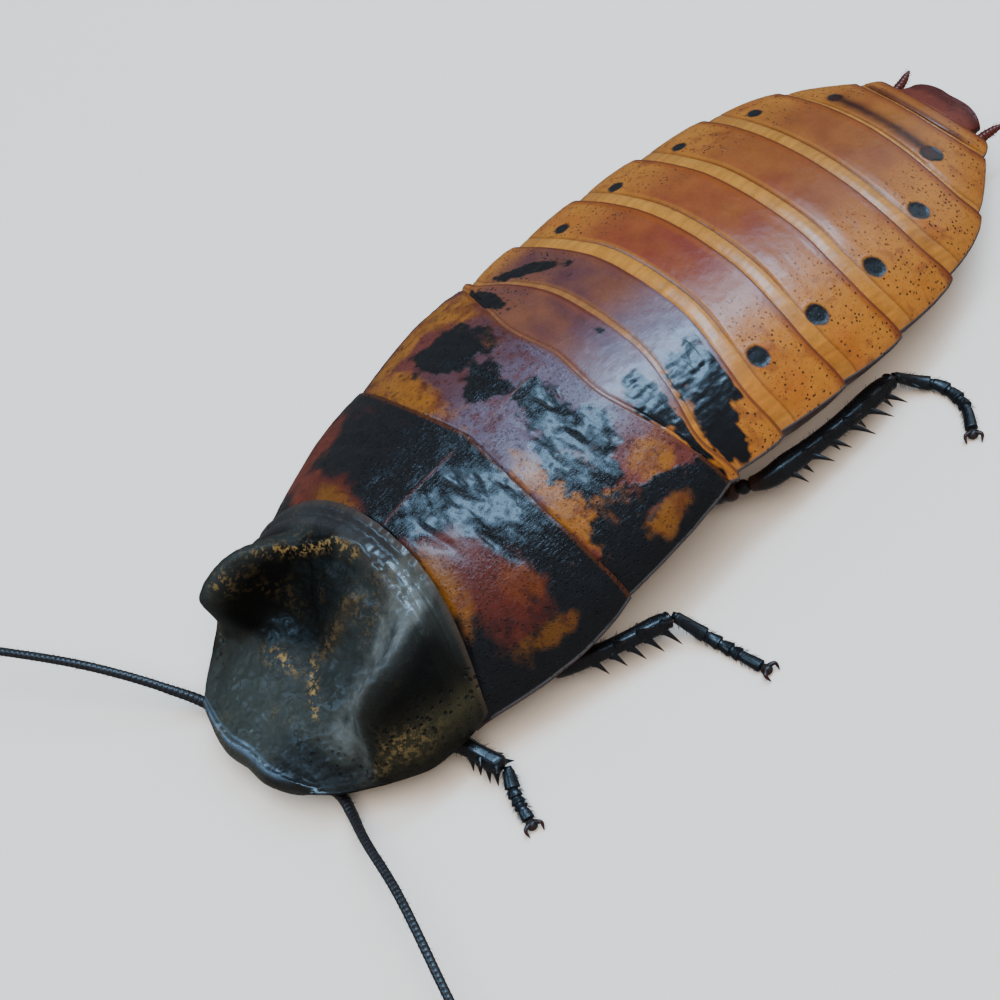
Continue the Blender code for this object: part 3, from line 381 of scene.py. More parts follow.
class Form:
    """Closed surface in millimetres. The tint is its colour; the marks are pits, gloss and dust."""

    def __init__(self, points, quads, triangles=(), tint=(1, 1, 1), marks=(0, 0, 0)):
        self.points = np.asarray(points, float).reshape(-1, 3)
        self.quads = np.asarray(quads, int).reshape(-1, 4)
        self.triangles = np.asarray(triangles, int).reshape(-1, 3)
        self.tint = np.broadcast_to(np.asarray(tint, float), self.points.shape).copy()
        self.marks = np.broadcast_to(np.asarray(marks, float), self.points.shape).copy()


def joined(forms):
    """Several closed surfaces as one form."""
    starts = np.cumsum([0] + [len(form.points) for form in forms[:-1]])
    return Form(np.concatenate([form.points for form in forms]),
                np.concatenate([form.quads + start for form, start in zip(forms, starts)]),
                np.concatenate([form.triangles + start for form, start in zip(forms, starts)]),
                np.concatenate([form.tint for form in forms]),
                np.concatenate([form.marks for form in forms]))


def grid_quads(rows, count, first=0, flip=False):
    """Faces of an open grid of points, row after row."""
    i, j = np.meshgrid(np.arange(rows - 1), np.arange(count - 1), indexing="ij")
    a = first + (i * count + j).ravel()
    quads = np.stack([a, a + 1, a + count + 1, a + count], -1)
    return quads[:, ::-1] if flip else quads


def ring_quads(rows, sides, first=0, flip=False):
    """Faces between closed rings of points that follow one another."""
    i, j = np.meshgrid(np.arange(rows - 1), np.arange(sides), indexing="ij")
    k = (j + 1) % sides
    quads = np.stack([i * sides + j, (i + 1) * sides + j, (i + 1) * sides + k, i * sides + k], -1)
    return first + quads.reshape(-1, 4)[:, [0, 3, 2, 1] if flip else [0, 1, 2, 3]]


def fan(first, sides, pole, flip=False):
    """Triangles between a ring of points and its pole."""
    ring = first + np.arange(sides)
    edge = (ring, np.roll(ring, -1))
    return np.stack([*(edge[::-1] if flip else edge), np.full(sides, pole)], -1)


def slab(top, bottom, tint=(1, 1, 1), marks=(0, 0, 0)):
    """Closed solid between two grids of points, with walls round their edges."""
    rows, count = top.shape[:2]
    size = rows * count
    ring = np.concatenate([np.arange(count), np.arange(1, rows) * count + count - 1,
                           (rows - 1) * count + np.arange(count - 2, -1, -1),
                           np.arange(rows - 2, 0, -1) * count])
    following = np.roll(ring, -1)
    walls = np.stack([ring, ring + size, following + size, following], -1)
    quads = np.concatenate([grid_quads(rows, count), grid_quads(rows, count, size, True), walls])
    both = [np.broadcast_to(np.asarray(values, float), top.shape).reshape(-1, 3) for values in (tint, marks)]
    return Form(np.concatenate([top.reshape(-1, 3), bottom.reshape(-1, 3)]), quads, (),
                *(np.concatenate([values, values]) for values in both))


def path_axes(path, start=None):
    """Unit vectors along, across and over a path; start turns its first end."""
    along = np.gradient(path, axis=0)
    if start is not None:
        along[0] = start
    along /= np.linalg.norm(along, axis=-1, keepdims=True)
    across = np.cross(along, [0, 0, 1.0])
    across /= np.linalg.norm(across, axis=-1, keepdims=True)
    return along, across, np.cross(across, along)


def tube(path, wide, high, sides, relief=0.0, rounding=(0.0, 0.0), floor=None, start=None,
         tint=(1, 1, 1), marks=(0, 0, 0)):
    """Oval section carried along a path. Near each end the section shrinks like a quarter circle over the
    rounding's length, and a fan closes it on a pole. The relief is added to the radius."""
    path = np.asarray(path, float)
    axes = path_axes(path, start)
    run = np.concatenate([[0], np.cumsum(np.linalg.norm(np.diff(path, axis=0), axis=1))])
    shrink = np.ones(len(path))
    for distance, length in ((run, rounding[0]), (run[-1] - run, rounding[1])):
        if length:
            shrink *= np.sqrt(np.clip(1 - (1 - np.clip(distance / length, 0.02, 1)) ** 2, 0, 1))
    turn = turns(sides)
    wide = np.broadcast_to(wide, len(path))[:, None] + relief
    high = np.broadcast_to(high, len(path))[:, None] + relief
    points = (path[:, None] + axes[1][:, None] * (wide * shrink[:, None] * np.cos(turn))[..., None]
              + axes[2][:, None] * (high * shrink[:, None] * np.sin(turn))[..., None])
    if floor is not None:
        points[..., 2] = np.maximum(points[..., 2], floor)
    size = len(path) * sides
    quads = ring_quads(len(path), sides)
    ends = np.concatenate([fan(0, sides, size), fan(size - sides, sides, size + 1, True)])
    both = [np.broadcast_to(np.asarray(values, float), (len(path), sides, 3)).reshape(-1, 3)
            for values in (tint, marks)]
    poles = points[[0, -1]].mean(1)
    return Form(np.concatenate([points.reshape(-1, 3), poles]), quads, ends,
                *(np.concatenate([values, values[[0, -1]]]) for values in both))


def ball(centre, sizes, rings=24, sides=32, swell=None, **finish):
    """Oval ball: a half circle carried round Z, its radius swelled by a function of the unit direction."""
    angle = np.linspace(0, np.pi, rings + 1)[1:-1, None]
    turn = turns(sides, 0)
    around = np.stack([np.sin(angle) * np.cos(turn), np.sin(angle) * np.sin(turn),
                       np.cos(angle) + 0 * turn], -1)
    points = np.concatenate([[[0, 0, 1.0]], around.reshape(-1, 3), [[0, 0, -1.0]]])
    if swell is not None:
        points = points * (1 + swell(points))[:, None]
    last = len(points) - 1
    caps = np.concatenate([fan(1, sides, 0), fan(last - sides, sides, last, True)])
    return Form(points * sizes + centre, ring_quads(rings - 1, sides, 1), caps, **finish)


def cones(roots, tips, thickness, sides=5, tint=(1, 1, 1)):
    """Many slender cones at once, each with a collar at its root and a pointed tip."""
    roots, tips = np.asarray(roots, float), np.asarray(tips, float)
    thickness = np.broadcast_to(thickness, len(roots))[:, None, None]
    along = tips - roots
    along = along / np.linalg.norm(along, axis=1, keepdims=True)
    across = np.cross(along, [0.3, 0.2, 1.0])
    across /= np.linalg.norm(across, axis=1, keepdims=True)
    over = np.cross(across, along)
    turn = turns(sides, 0)
    ring = across[:, None] * np.cos(turn)[None, :, None] + over[:, None] * np.sin(turn)[None, :, None]
    rings = [(roots + (tips - roots) * share)[:, None] + ring * thickness * size
             for share, size in ((0.0, 0.5), (0.35, 0.4), (0.7, 0.24))]
    count = 3 * sides + 2
    points = np.concatenate([np.concatenate(rings, 1), roots[:, None], tips[:, None]], 1)
    quads = ring_quads(3, sides, flip=True)
    ends = np.concatenate([fan(0, sides, 3 * sides, True), fan(2 * sides, sides, 3 * sides + 1)])
    offset = (np.arange(len(roots)) * count)[:, None, None]
    return Form(points, quads[None] + offset, ends[None] + offset, tint)


def blots(u, station, ragged, *spots, soft=0.15):
    """Mask of soft-edged patches: each is an oval with its middle, its two half sizes and its slant, which is
    the share of the half width by which it shifts per millimetre backwards; the ragged noise breaks their
    outlines."""
    cover = 0
    for across, at, wide, long, slant in spots:
        away = np.hypot((u - across - slant * (station - at)) / wide, (station - at) / long)
        cover = np.maximum(cover, 1.5 - away)
    return rise(cover + ragged, 0.5 - soft, 0.5 + soft)


def paint(base, *layers):
    """Lays colours over a base one after another, each by its own mask."""
    for colour, mask in layers:
        mask = np.clip(mask, 0, 1)[..., None]
        base = base * (1 - mask) + np.asarray(colour) * mask
    return base


def make_piece(name, form, material, nodes):
    """Puts a form into a mesh object that stands for the named nodes."""
    mesh = bpy.data.meshes.new(name)
    loops = np.concatenate([form.quads.ravel(), form.triangles.ravel()])
    totals = np.concatenate([np.full(len(form.quads), 4), np.full(len(form.triangles), 3)])
    mesh.vertices.add(len(form.points))
    mesh.vertices.foreach_set("co", (form.points * MM).ravel())
    mesh.loops.add(len(loops))
    mesh.loops.foreach_set("vertex_index", loops)
    mesh.polygons.add(len(totals))
    mesh.polygons.foreach_set("loop_start", np.concatenate([[0], np.cumsum(totals)[:-1]]))
    mesh.polygons.foreach_set("loop_total", totals)
    mesh.update(calc_edges=True)
    for label, values in (("tint", form.tint), ("marks", form.marks)):
        layer = mesh.attributes.new(label, "FLOAT_COLOR", "POINT")
        values = np.column_stack([np.clip(values, 0, 1), np.ones(len(values))])
        layer.data.foreach_set("color", values.ravel())
    mesh.shade_smooth()
    mesh.set_sharp_from_angle(angle=np.radians(50))
    mesh.materials.append(material)
    made = bpy.data.objects.new(name, mesh)
    bpy.context.scene.collection.objects.link(made)
    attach(made, "root")
    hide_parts(*nodes)
    return made


# Finishes

class Number:
    """One number in a finish, which adds, scales and compares like any other."""

    def __init__(self, finish, socket):
        self.finish, self.socket = finish, socket

    def maths(self, operation, *others):
        """Adds a Math node that takes these numbers in order."""
        return self.finish.add("ShaderNodeMath", {"operation": operation}, dict(enumerate(others)))

    def __add__(self, other):
        return self.maths("ADD", self, other)

    def __sub__(self, other):
        return self.maths("SUBTRACT", self, other)

    def __rsub__(self, other):
        return self.maths("SUBTRACT", other, self)

    def __mul__(self, other):
        return self.maths("MULTIPLY", self, other)

    __radd__, __rmul__ = __add__, __mul__

    def rise(self, low, high):
        """0 below low and 1 above high with a smooth step between; falls where low is the larger."""
        if low > high:
            return 1 - self.rise(high, low)
        return self.finish.add("ShaderNodeMapRange", {"interpolation_type": "SMOOTHSTEP"},
                               {"Value": self, "From Min": low, "From Max": high})


class Finish:
    """A material on the Principled shader, whose fixed values are given as words."""

    def __init__(self, name, **fixed):
        self.material = bpy.data.materials.new(name)
        self.material.use_nodes = True
        self.tree = self.material.node_tree
        self.shader = self.tree.nodes["Principled BSDF"]
        for word, value in fixed.items():
            self.shader.inputs[word.replace("_", " ").title().replace("Ior", "IOR")].default_value = value
        self.place = self.add("ShaderNodeTexCoord", {}, {}, "Object").socket

    def add(self, kind, settings, values, output=0):
        """Adds a node: its settings first, then its values and links, and gives one of its outputs."""
        node = self.tree.nodes.new(kind)
        for word, value in settings.items():
            setattr(node, word, value)
        for word, value in values.items():
            if isinstance(value, Number):
                value = value.socket
            if isinstance(value, bpy.types.NodeSocket):
                self.tree.links.new(value, node.inputs[word])
            else:
                node.inputs[word].default_value = value
        return Number(self, node.outputs[output])

    def attribute(self, name):
        """The colour that the form carries under this name."""
        return self.add("ShaderNodeAttribute", {"attribute_name": name}, {}, "Color")

    def marks(self):
        """The form's pits, gloss and dust."""
        split = self.add("ShaderNodeSeparateColor", {}, {"Color": self.attribute("marks")})
        return [Number(self, output) for output in split.socket.node.outputs[:3]]

    def noise(self, size, detail=2.0, roughness=0.5, stretch=None):
        """Noise whose lumps are about this many millimetres across."""
        place = self.place
        if stretch is not None:
            place = self.add("ShaderNodeMapping", {}, {"Vector": place, "Scale": stretch})
        return self.add("ShaderNodeTexNoise", {}, {"Vector": place, "Scale": 1 / (size * MM),
                                                   "Detail": detail, "Roughness": roughness}, "Fac")

    def cells(self, size):
        """Distance from the nearest of scattered points, in cells of this many millimetres."""
        return self.add("ShaderNodeTexVoronoi", {"feature": "F1"},
                        {"Vector": self.place, "Scale": 1 / (size * MM)}, "Distance")

    def mix(self, share, first, second):
        """Blend of two colours; a colour is a socket or three numbers."""
        first, second = (c if isinstance(c, Number) else (*c, 1.0) for c in (first, second))
        return self.add("ShaderNodeMix", {"data_type": "RGBA"}, {0: share, 6: first, 7: second}, 2)

    def shade(self, colour, amount):
        """A colour made lighter or darker by an amount."""
        return self.add("ShaderNodeVectorMath", {"operation": "SCALE"}, {0: colour, 3: amount})

    def finish(self, colour, roughness, height, depth, **more):
        """Joins the colour, the roughness and a bump of this depth in millimetres to the shader."""
        bump = self.add("ShaderNodeBump", {}, {"Strength": 1.0, "Distance": depth * MM, "Height": height})
        links = {"Base Color": colour, "Roughness": roughness, "Normal": bump, **more}
        for word, value in links.items():
            self.tree.links.new(value.socket, self.shader.inputs[word])
        return self.material


def cuticle_finish(name, look, pit_size=0.36, depth=1.0, **more):
    """Waxy horn: tint with fine mottling, dark punctures where the marks ask for them, streaks and gloss."""
    made = Finish(name, **{"coat_roughness": 0.2, "specular_ior_level": 0.3,
                           "subsurface_weight": look.glow, "subsurface_radius": (1.0, 0.35, 0.12),
                           "subsurface_scale": 0.0006, **more})
    pits, gloss, dust = made.marks()
    fine, coarse = made.noise(0.22, 3.0), made.noise(1.6, 4.0)
    tint = made.shade(made.attribute("tint"), 0.6 + coarse * 0.44 + fine * 0.36)
    chosen = made.noise(0.9, 2.0).rise(0.36, 0.5)
    puncture = (made.cells(pit_size).rise(0.3, 0.15) * chosen + made.cells(0.21).rise(0.24, 0.1) * 0.6) * pits
    colour = made.shade(tint, 1 - puncture * 0.84)
    streaks = made.noise(0.16, 2.0, 0.5, (1.0, 0.22, 1.0))
    wrinkle = made.noise(0.5, 4.0, 0.6)
    height = fine * 0.35 + wrinkle * 0.7 + streaks * gloss * 0.5 - puncture * 1.6
    roughness = look.roughness + coarse * 0.14 - gloss * 0.1 + puncture * 0.2 + dust * 0.25
    coat = look.coat * (1 - dust * 0.9 + gloss * 0.6)
    return made.finish(colour, roughness, height, look.relief * depth, **{"Coat Weight": coat})


def shield_finish(look):
    """Rough near-black horn with glossy places, gold dust where the marks ask for it, and punctures."""
    made = Finish("shield_horn", coat_roughness=0.16, specular_ior_level=0.2)
    pits, gloss, dust = made.marks()
    fine, coarse, lumps = made.noise(0.18, 4.0, 0.65), made.noise(1.4, 4.0), made.noise(0.5, 3.0, 0.6)
    ground = made.shade(made.attribute("tint"), 0.45 + coarse * 0.7 + fine * 0.5)
    flecks = (fine * 0.4 + lumps * 0.6).rise(0.49, 0.57) * dust
    puncture = made.cells(0.5).rise(0.34, 0.2) * pits
    colour = made.mix(flecks, ground, look.dust_colour)
    colour = made.mix(puncture * 0.9, colour, (0.002, 0.002, 0.002))
    height = (fine * 0.7 + lumps * 0.9) * (1 - gloss * 0.7) - puncture * 1.4 + flecks * 0.3
    roughness = 0.42 + fine * 0.2 - gloss * 0.25 + flecks * 0.2
    return made.finish(colour, roughness, height, look.relief * 2.0, **{"Coat Weight": gloss * 0.7 + 0.03})


def black_finish(look):
    """Polished black horn of legs and antennae, with faint furrows and brown where it is thin."""
    made = Finish("black_horn", coat_weight=0.45, coat_roughness=0.15, specular_ior_level=0.4)
    pits, gloss, dust = made.marks()
    fine, coarse = made.noise(0.12, 3.0), made.noise(0.8, 3.0)
    colour = made.shade(made.attribute("tint"), 0.6 + coarse * 0.5 + fine * 0.3)
    height = fine * 0.4 + coarse * 0.6 - made.cells(0.3).rise(0.3, 0.15) * pits
    return made.finish(colour, 0.22 + coarse * 0.22 + dust * 0.25 - gloss * 0.1, height, look.relief * 1.6)


def eye_finish(look):
    """Black compound eye with a fine honeycomb of facets."""
    made = Finish("eye_facets", coat_weight=0.8, coat_roughness=0.08, ior=1.5)
    facets = made.cells(0.075)
    shine = made.noise(0.5, 1.0)
    colour = made.shade(made.attribute("tint"), 0.7 + shine * 0.6)
    return made.finish(colour, 0.12 + facets * 0.16, facets.rise(0.75, 0.1), look.relief)


def skin_finish(look):
    """Soft skin between the plates: wrinkled across the body, dull, lighter on its folds."""
    made = Finish("joint_skin", ior=1.45, subsurface_weight=0.15, subsurface_radius=(1.0, 0.5, 0.3),
                  subsurface_scale=0.0005)
    folds = made.noise(0.35, 3.0, 0.6, (0.35, 1.0, 1.0))
    fine = made.noise(0.14, 3.0)
    colour = made.shade(made.attribute("tint"), 0.55 + folds * 0.6 + fine * 0.3)
    return made.finish(colour, 0.42 + fine * 0.2, folds + fine * 0.4, look.relief * 2)


def floor_finish(colour):
    """Pale matt board with a faint tooth."""
    made = Finish("pale_floor", ior=1.4)
    tooth = made.noise(0.6, 3.0)
    cloud = made.noise(60, 2.0)
    return made.finish(made.shade(tuple(colour), 0.97 + cloud * 0.06), 0.75 + tooth * 0.1, tooth, 0.02)


# Settings a user may change

class ROACH_PG_plates(bpy.types.PropertyGroup):
    """Sizes of the back plates and the belly plates, in millimetres."""
    thickness: FloatProperty(name="Plate thickness", description="Thickness of a back plate", default=0.28,
                             min=0.15, max=0.5)
    tuck: FloatProperty(name="Tuck", description="How far a plate reaches under the one before it",
                        default=1.2, min=0.5, max=2.0)
    lip: FloatProperty(name="Hind lip", description="Width of the raised hind edge", default=0.55, min=0.2,
                       max=1.0)
    overhang: FloatProperty(name="Overhang", description="How far the hind edge hangs over the next plate",
                            default=0.12, min=0.0, max=0.3)
    relief: FloatProperty(name="Relief", description="Scale of the forms along each plate", default=1.0,
                          min=0.0, max=1.5)
    across: IntProperty(name="Columns", description="Points across a back plate", default=261, min=61,
                        max=321)


class ROACH_PG_limbs(bpy.types.PropertyGroup):
    """Sizes of the legs and antennae, in millimetres."""
    sides: IntProperty(name="Sides", description="Points round a leg", default=36, min=12, max=64)
    spine: FloatProperty(name="Spine thickness", description="Thickness of a spine at its root", default=0.6,
                         min=0.3, max=0.8)
    hair: FloatProperty(name="Hair length", description="Length of the short hairs", default=0.42, min=0.1,
                        max=0.8)
    whip_ring: FloatProperty(name="Antenna ring", description="Length of one ring of the antenna",
                             default=0.38, min=0.3, max=0.8)


class ROACH_PG_colours(bpy.types.PropertyGroup):
    """Colours and gloss of the finishes."""
    amber: FloatVectorProperty(name="Amber", description="Sides of the abdomen", subtype="COLOR", size=3,
                               default=(0.35, 0.118, 0.013), min=0, max=1)
    band: FloatVectorProperty(name="Front band", description="Smooth front band of the abdomen's plates",
                              subtype="COLOR", size=3, default=(0.38, 0.155, 0.026), min=0, max=1)
    maroon: FloatVectorProperty(name="Maroon", description="Middle of the abdomen", subtype="COLOR", size=3,
                                default=(0.15, 0.027, 0.014), min=0, max=1)
    orange: FloatVectorProperty(name="Hind edge", description="Thin hind edges of the plates",
                                subtype="COLOR", size=3, default=(0.33, 0.075, 0.009), min=0, max=1)
    black: FloatVectorProperty(name="Black", description="Black horn", subtype="COLOR", size=3,
                               default=(0.0055, 0.006, 0.0072), min=0, max=1)
    # Painted highlight: the colour of a thin pale line along the side margins of the plates
    edge: FloatVectorProperty(name="Side edge", description="Thin painted_highlight line along the side margins",
                              subtype="COLOR", size=3, default=(0.07, 0.075, 0.085), min=0, max=1)
    shield: FloatVectorProperty(name="Shield", description="Ground colour of the shield", subtype="COLOR",
                                size=3, default=(0.018, 0.02, 0.018), min=0, max=1)
    dust_colour: FloatVectorProperty(name="Dust", description="Gold dust on the shield", subtype="COLOR",
                                     size=3, default=(0.25, 0.155, 0.05), min=0, max=1)
    skin: FloatVectorProperty(name="Skin", description="Skin between the plates", subtype="COLOR", size=3,
                              default=(0.10, 0.045, 0.028), min=0, max=1)
    roughness: FloatProperty(name="Roughness", description="Roughness of the plates", default=0.30, min=0.05,
                             max=0.9, subtype="FACTOR")
    coat: FloatProperty(name="Gloss coat", description="Weight of the clear coat on the plates", default=0.4,
                        min=0, max=1, subtype="FACTOR")
    glow: FloatProperty(name="Glow", description="How much light the amber plates let through", default=0.05,
                        min=0, max=1, subtype="FACTOR")
    relief: FloatProperty(name="Bump", description="Depth of the fine bumps in millimetres", default=0.035,
                          min=0, max=0.2)


class ROACH_PG_stage(bpy.types.PropertyGroup):
    """Floor, lights and camera."""
    floor: FloatVectorProperty(name="Floor", description="Colour of the floor", subtype="COLOR", size=3,
                               default=(0.88, 0.78, 0.68), min=0, max=1)
    sky: FloatVectorProperty(name="Surroundings", description="Colour of the light from all round",
                             subtype="COLOR", size=3, default=(1.0, 0.95, 0.92), min=0, max=1)
    sky_strength: FloatProperty(name="Surroundings' strength", description="Strength of the light all round",
                                default=0.14, min=0, max=3)
    softbox: FloatProperty(name="Softbox", description="Power of the overhead softbox in watts", default=3.6,
                           min=0, max=10)
    lens: FloatProperty(name="Lens", description="Focal length for a 36 mm sensor, in millimetres",
                        default=69.86, min=10, max=300)


def settings(group):
    """One group of the settings above."""
    return getattr(bpy.context.scene, "roach_" + group)


def tones():
    """The colours as arrays, by name."""
    look = settings("colours")
    names = ("amber", "band", "maroon", "orange", "black", "edge", "shield", "skin")
    return {name: np.array(getattr(look, name)) for name in names}


# Back and belly plates

def plate_layout(before, name, band, steps, rows):
    """Station of every row and column of a plate. The rows are shared between five lines: the tucked front,
    the visible front line, the groove behind the band, the start of the lip, and the hind edge."""
    plates = settings("plates")
    u = columns(plates.across)
    first, last = margin(before, u), margin(name, u)
    band = np.minimum(band, (last - first) * 0.55)
    lip = np.minimum(plates.lip, (last - first) * 0.3)
    lines = np.stack([first - plates.tuck, first, first + band, last - lip, last + plates.overhang])
    step = np.concatenate([np.linspace(k, k + 1, count, endpoint=False) for k, count in enumerate(rows)]
                          + [[4.0]])
    whole = np.minimum(step.astype(int), 3)
    part = (step - whole)[:, None]
    station = lines[whole] * (1 - part) + lines[whole + 1] * part
    share = (station - first) / (last - first)
    relief = smooth_curve(step, *steps)[:, None] * plates.relief
    u, step, relief = np.broadcast_arrays(u, step[:, None], relief)
    return u, step, station, share, first, last, relief


def plate_solid(u, step, station, share, relief, flare, details, tint, marks, margin_wedge=True):
    """Closed plate: the detailed arch above; below it the same arch less the thickness, which towards the
    side margins becomes the fold that meets the belly."""
    plates = settings("plates")
    flare = np.interp(share, FLARE_SHARES, flare)
    x, z = back(u, station, relief + details, flare)
    under = z - plates.thickness
    if margin_wedge:
        side = rise(np.abs(u), 0.82, 0.9)
        fold = np.minimum(belly(u, station) + rise(step, 1.3, 0.8) * 0.35, z - 0.05)
        under = under * (1 - side) + fold * side
    made = slab(pose(x, station, z), pose(x, station, under), tint, marks)
    made.tint[x.size:] = tones()["maroon"] * 0.3
    return made


def abdomen_plate(before, name, number):
    """Back plate of one ring of the abdomen with its band, groove, disc, dots and hind lip. The first two
    rings have wrinkled black patches on a redder ground and no dots."""
    colour = tones()
    in_front = number < 3
    disc_strength, band_strength = DISC_STRENGTHS[number - 1], BAND_STRENGTHS[number - 1]
    u, step, station, share, first, last, relief = plate_layout(
        before, name, BANDS[name], (TUCK_STEPS, TUCK_RELIEF), (7, 20, 38, 12))
    x = u * trunk(station, HALF_WIDTHS)
    spot, seed = flat_spots(x, station), number * 5
    cloud, speck = grain(spot, 2.4, seed, 3), grain(spot, 0.45, seed + 2, 2)
    mottle, stria = grain(spot, 0.8, seed + 3, 3), grain(spot, (0.22, 1.6, 1.0), seed + 4, 2)
    behind_groove = station - first - BANDS[name]
    to_edge = last - station
    middle = rise(np.abs(u + 0.07) + cloud * 0.07, *((0.84, 0.6) if in_front else (0.7, 0.3)))
    disc = rise(step, 1.96, 2.12)
    band = rise(step, 1.0, 1.12) * (1 - disc)
    groove = bell(step, 2.0, 0.04)
    red = colour["maroon"] * ((0.5, 0.95, 2.0) if in_front else (1.0, 1.0 + 0.1 * (number - 3), 1.0))
    relief = relief * (0.35 if in_front else 1 - 0.4 * rise(np.abs(u), 0.45, 0.85))
    base = paint(np.broadcast_to(colour["amber"], x.shape + (3,)),
                 (colour["orange"] * 0.85, rise(cloud, 0.0, 0.6) * 0.5),
                 (red, (1 if in_front else disc) * middle * disc_strength * (0.9 + cloud * 0.25)),
                 (colour["band"], band * (0.9 - 0.5 * rise(np.abs(u), 0.5, 0.85)) * band_strength),
                 (colour["orange"] * 0.6, rise(to_edge, 0.75, 0.25) * (0.2 if in_front else 0.8)),
                 (colour["maroon"] * 0.5, rise(to_edge, 0.22, 0.08) * 0.7),
                 (colour["maroon"] * 0.8, disc * rise(mottle, 0.15, 0.6) * rise(np.abs(u), 0.3, 0.7) * 0.45))
    gloss = band * 0.7 + disc * rise(u, -0.3, 0.0) * rise(u, 0.75, 0.5) * (1.0 if in_front else 0.3)
    details = disc * speck * 0.012 + cloud * 0.03 * disc + band * stria * 0.012
    if in_front:
        patch = blots(u, station, cloud * 0.5 + speck * 0.3, *RING_PATCHES[number], soft=0.3)
        patch = patch * rise(to_edge, 0.1, 0.4)
        streak = grain(spot, (0.3, 0.9, 1.0), 40 + number, 2)
        # Painted sheen: the middle of the disc lightened to a pale lilac
        base = paint(base, (PAINTED_SHEEN["ring"], disc * rise(u, -0.1, 0.2) * rise(u, 0.7, 0.5) * 0.4),
                     (colour["maroon"] * 0.35, groove * 0.5),
                     (colour["black"], rise(patch + 0.3 * streak * patch, 0.25, 0.75)))
        details = details + patch * (streak * 0.05 - 0.04 * bell(grain(spot, (1.2, 0.4, 1.0), 45, 1), 0, 0.3))
        gloss = np.maximum(gloss, patch)
    else:
        base = paint(base, (colour["orange"] * 0.35, groove * (0.6 + 0.4 * middle)),
                     # Painted shadow: a darker line at the front of the band, under the hind lip of the plate
                     # before
                     (colour["maroon"] * 0.6, rise(step, 1.12, 1.02) * 0.8))
    if name in DOTS:
        share_at, station_at, radius = DOTS[name]
        for side, scale in ((-1, 0.95), (1, 1.25)):
            away = np.hypot(x - side * share_at * trunk(station_at, HALF_WIDTHS), station - station_at)
            away = away / (radius * scale) + speck * 0.08
            base = paint(base, (colour["black"] * 1.3, rise(away, 1.08, 0.86)))
            details = details - 0.09 * rise(away, 1.0, 0.55) + 0.03 * bell(away, 1.12, 0.12)
            gloss = np.maximum(gloss, rise(away, 1.1, 0.8) * 0.6)
    if number == 7:
        stripe = bell(station + speck * 0.1, 66.1, 0.6) * rise(np.abs(u), 0.56, 0.5)
        base = paint(base, (colour["maroon"] * 0.2, stripe * (0.95 + 0.2 * cloud)))
    if number == 8:
        stripe = bell(behind_groove, 0.15, 0.35) * rise(np.abs(u), 0.95, 0.6)
        base = paint(base, (colour["maroon"] * 0.4, stripe * 0.8))
    # Painted highlight: a thin pale line along the side margins
    base = paint(base, (colour["edge"], rise(np.abs(u), *MARGIN_HIGHLIGHT) * rise(step, 1.0, 1.3)))
    base = base * ((1 + 0.25 * stria * band) * (1 - 0.1 * rise(station, 52, 60)))[..., None]
    pits = disc * rise(np.abs(u), 0.3, 0.5) * (1 - gloss) * rise(to_edge, 0.1, 0.4)
    dull = rise(u, -0.45, -0.8) * 0.9 + rise(u, 0.75, 0.95) * 0.4 + rise(station, 52, 62) * 0.35
    marks = np.stack([pits, gloss, dull], -1)
    return plate_solid(u, step, station, share, relief, PLATE_FLARE, details, base, marks)


def belly_plate(before, name, number):
    """Belly plate: the belly's curve, its front tucked in and its hind edge a step lower."""
    colour = tones()
    u = columns(121, 0.9)
    first, last = margin(before, u), margin(name, u)
    step = np.concatenate([np.linspace(0, 1, 6, endpoint=False), np.linspace(1, 2, 24)])[:, None]
    station = np.where(step < 1, first - 0.8 * (1 - step), first + (last + 0.1 - first) * (step - 1))
    u = np.broadcast_to(u, station.shape)
    lift = np.interp(step, [0, 1, 1.1, 1.5, 1.93, 2.0], [0.45, 0.22, 0.1, 0.04, 0.0, 0.05])
    z = belly(u, station) + lift
    x = u * trunk(station, HALF_WIDTHS)
    cloud = grain(flat_spots(x, station), 2.0, 70 + number, 3)
    base = paint(np.broadcast_to(colour["maroon"] * 0.55, x.shape + (3,)),
                 (colour["amber"] * 0.55, rise(np.abs(u) + cloud * 0.1, 0.35, 0.9) * 0.7),
                 (colour["black"], rise(step, 1.9, 1.97) * 0.7))
    marks = np.stack([rise(np.abs(u), 0.1, 0.4), 0 * u, 0 * u], -1)
    return slab(pose(x, station, z + 0.3), pose(x, station, z), base, marks)


class ROACH_OT_abdomen(bpy.types.Operator):
    """Back and belly plates of the abdomen's eight rings"""
    bl_idname = "roach.abdomen"
    bl_label = "Abdomen plates"

    def execute(self, context):
        finish = cuticle_finish("amber_horn", settings("colours"))
        names = list(HIND_MARGINS)
        for number in range(1, 9):
            before, name = names[number + 1], names[number + 2]
            make_piece(f"back_plate_{number}", abdomen_plate(before, name, number), finish, [name])
            make_piece(f"belly_plate_{number}", belly_plate(before, name, number), finish, [name])
        return {"FINISHED"}


# Thorax

